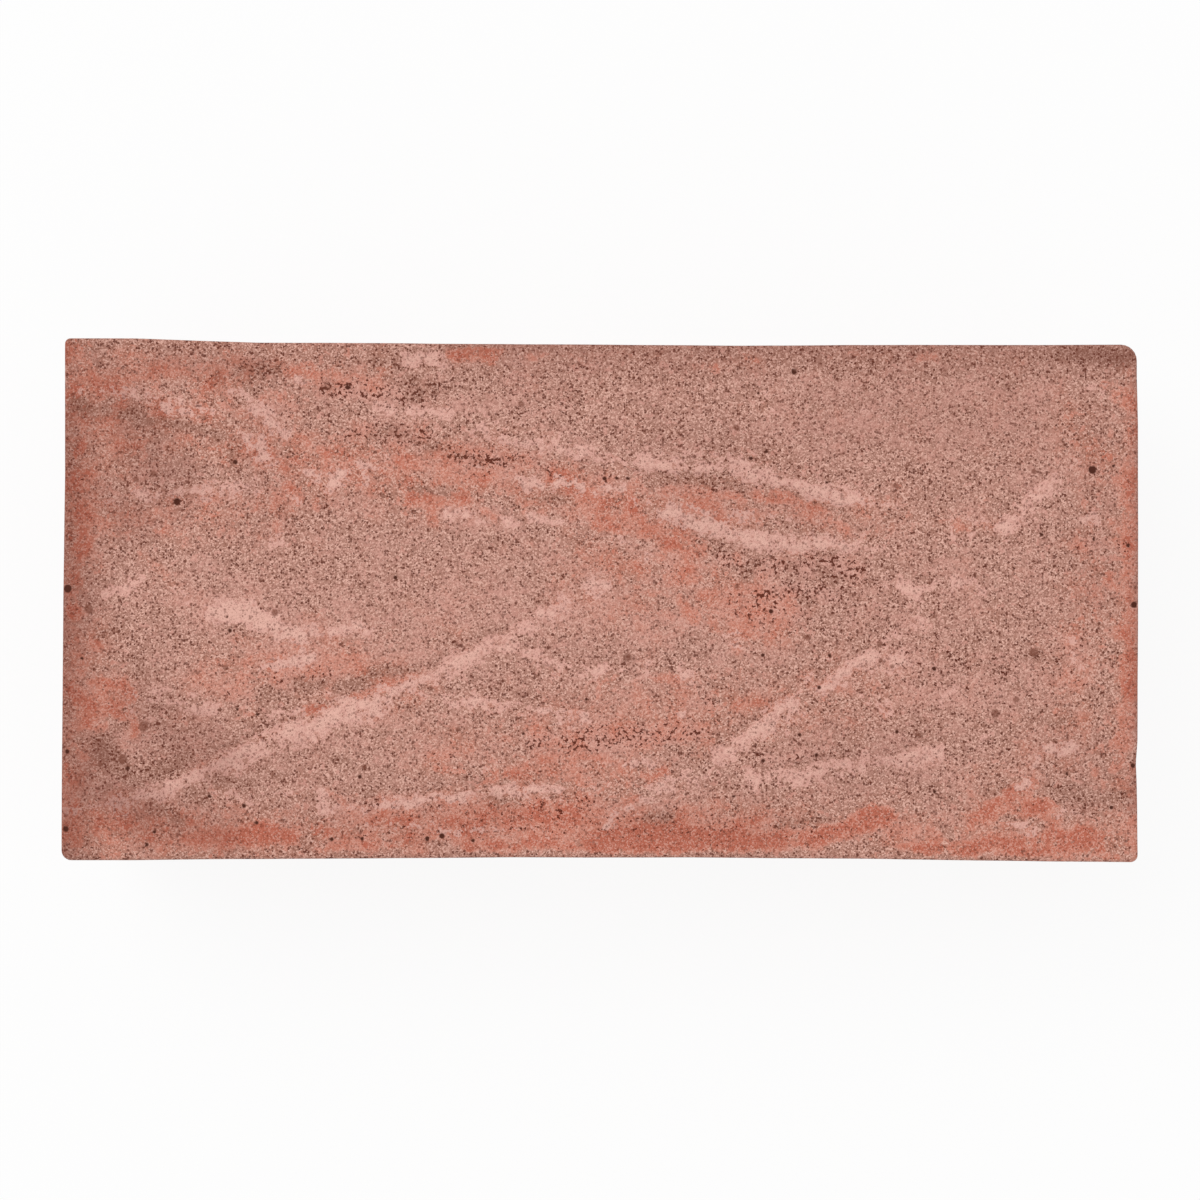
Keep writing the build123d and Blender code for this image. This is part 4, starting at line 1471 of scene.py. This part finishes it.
def studio_floor(settings):
    """A white floor that shows a little of its own shading to the camera."""
    deselect_all()
    bpy.ops.mesh.primitive_plane_add(size=FLOOR_SIZE, location=(0, 0, 0))
    floor = bpy.context.active_object
    floor.name = "studio_floor"
    material = bpy.data.materials.new("white floor")
    material.use_nodes = True
    tree = material.node_tree
    tree.nodes.clear()
    paint = node(tree, "ShaderNodeBsdfDiffuse", Color=(0.9, 0.9, 0.9, 1.0))
    glow = node(tree, "ShaderNodeEmission", Color=(1.0, 1.0, 1.0, 1.0), Strength=1.0)
    share = math_node(tree, "MULTIPLY", seen_plainly(tree), 1 - settings.floor_shade)
    both = node(tree, "ShaderNodeMixShader", _0=share, _1=paint.outputs[0], _2=glow.outputs[0])
    output = tree.nodes.new("ShaderNodeOutputMaterial")
    tree.links.new(both.outputs[0], output.inputs["Surface"])
    floor.data.materials.append(material)


def studio_light(settings):
    """Even light from all round, white to the camera, and one large soft box at the back left."""
    world = bpy.data.worlds.new("studio sky")
    world.use_nodes = True
    tree = world.node_tree
    tree.nodes.clear()
    strength = ramp(tree, seen_plainly(tree), 0.0, 1.0, settings.sky, 1.0)
    sky = node(tree, "ShaderNodeBackground", Color=(1.0, 1.0, 1.0, 1.0), Strength=strength)
    output = tree.nodes.new("ShaderNodeOutputWorld")
    tree.links.new(sky.outputs[0], output.inputs["Surface"])
    bpy.context.scene.world = world

    place = Vector(SOFT_BOX_PLACE)
    light = bpy.data.lights.new("soft box", "AREA")
    light.shape = "DISK"
    light.size = SOFT_BOX_SIZE
    toward = place.normalized()
    light.energy = settings.key * math.pi**2 * place.length_squared / toward.z
    box = bpy.data.objects.new("soft box", light)
    box.location = place
    box.rotation_euler = toward.to_track_quat("Z", "Y").to_euler()
    bpy.context.scene.collection.objects.link(box)


def studio_camera(settings, sizes):
    """A camera straight above the moulded face."""
    data = bpy.data.cameras.new("camera")
    data.lens = settings.lens
    height = settings.picture_width * settings.lens / data.sensor_width
    camera = bpy.data.objects.new("camera", data)
    camera.location = (0, 0, sizes.height - sizes.moulded_arris + height)
    bpy.context.scene.collection.objects.link(camera)
    bpy.context.scene.camera = camera


class BRICK_OT_set_studio(bpy.types.Operator):
    """Set the white floor, the soft light and the camera above the brick"""

    bl_idname = "brick.set_studio"
    bl_label = "Set studio"

    def execute(self, context):
        settings = context.scene.studio_settings
        studio_floor(settings)
        studio_light(settings)
        studio_camera(settings, context.scene.brick_sizes)
        context.scene.view_settings.view_transform = "Standard"
        return {"FINISHED"}


class BRICK_PT_tools(bpy.types.Panel):
    """Tools that make the brick and its studio"""

    bl_label = "Clay brick"
    bl_idname = "BRICK_PT_tools"
    bl_space_type = "VIEW_3D"
    bl_region_type = "UI"
    bl_category = "Brick"

    def draw(self, context):
        layout = self.layout
        layout.operator(BRICK_OT_mould_body.bl_idname)
        layout.operator(BRICK_OT_set_studio.bl_idname)
        scene = context.scene
        for settings in (scene.brick_sizes, scene.clay_colours, scene.studio_settings):
            for name in settings.bl_rna.properties.keys():
                if name not in ("rna_type", "name"):
                    layout.prop(settings, name)


CLASSES = (BrickSizes, ClayColours, StudioSettings, BRICK_OT_mould_body, BRICK_OT_set_studio, BRICK_PT_tools)


def register():
    for item in CLASSES:
        bpy.utils.register_class(item)
    bpy.types.Scene.brick_sizes = bpy.props.PointerProperty(type=BrickSizes)
    bpy.types.Scene.clay_colours = bpy.props.PointerProperty(type=ClayColours)
    bpy.types.Scene.studio_settings = bpy.props.PointerProperty(type=StudioSettings)


def unregister():
    del bpy.types.Scene.studio_settings
    del bpy.types.Scene.clay_colours
    del bpy.types.Scene.brick_sizes
    for item in reversed(CLASSES):
        bpy.utils.unregister_class(item)


def main():
    register()
    bpy.ops.brick.mould_body()
    bpy.ops.brick.set_studio()


if __name__ == "__main__":
    main()
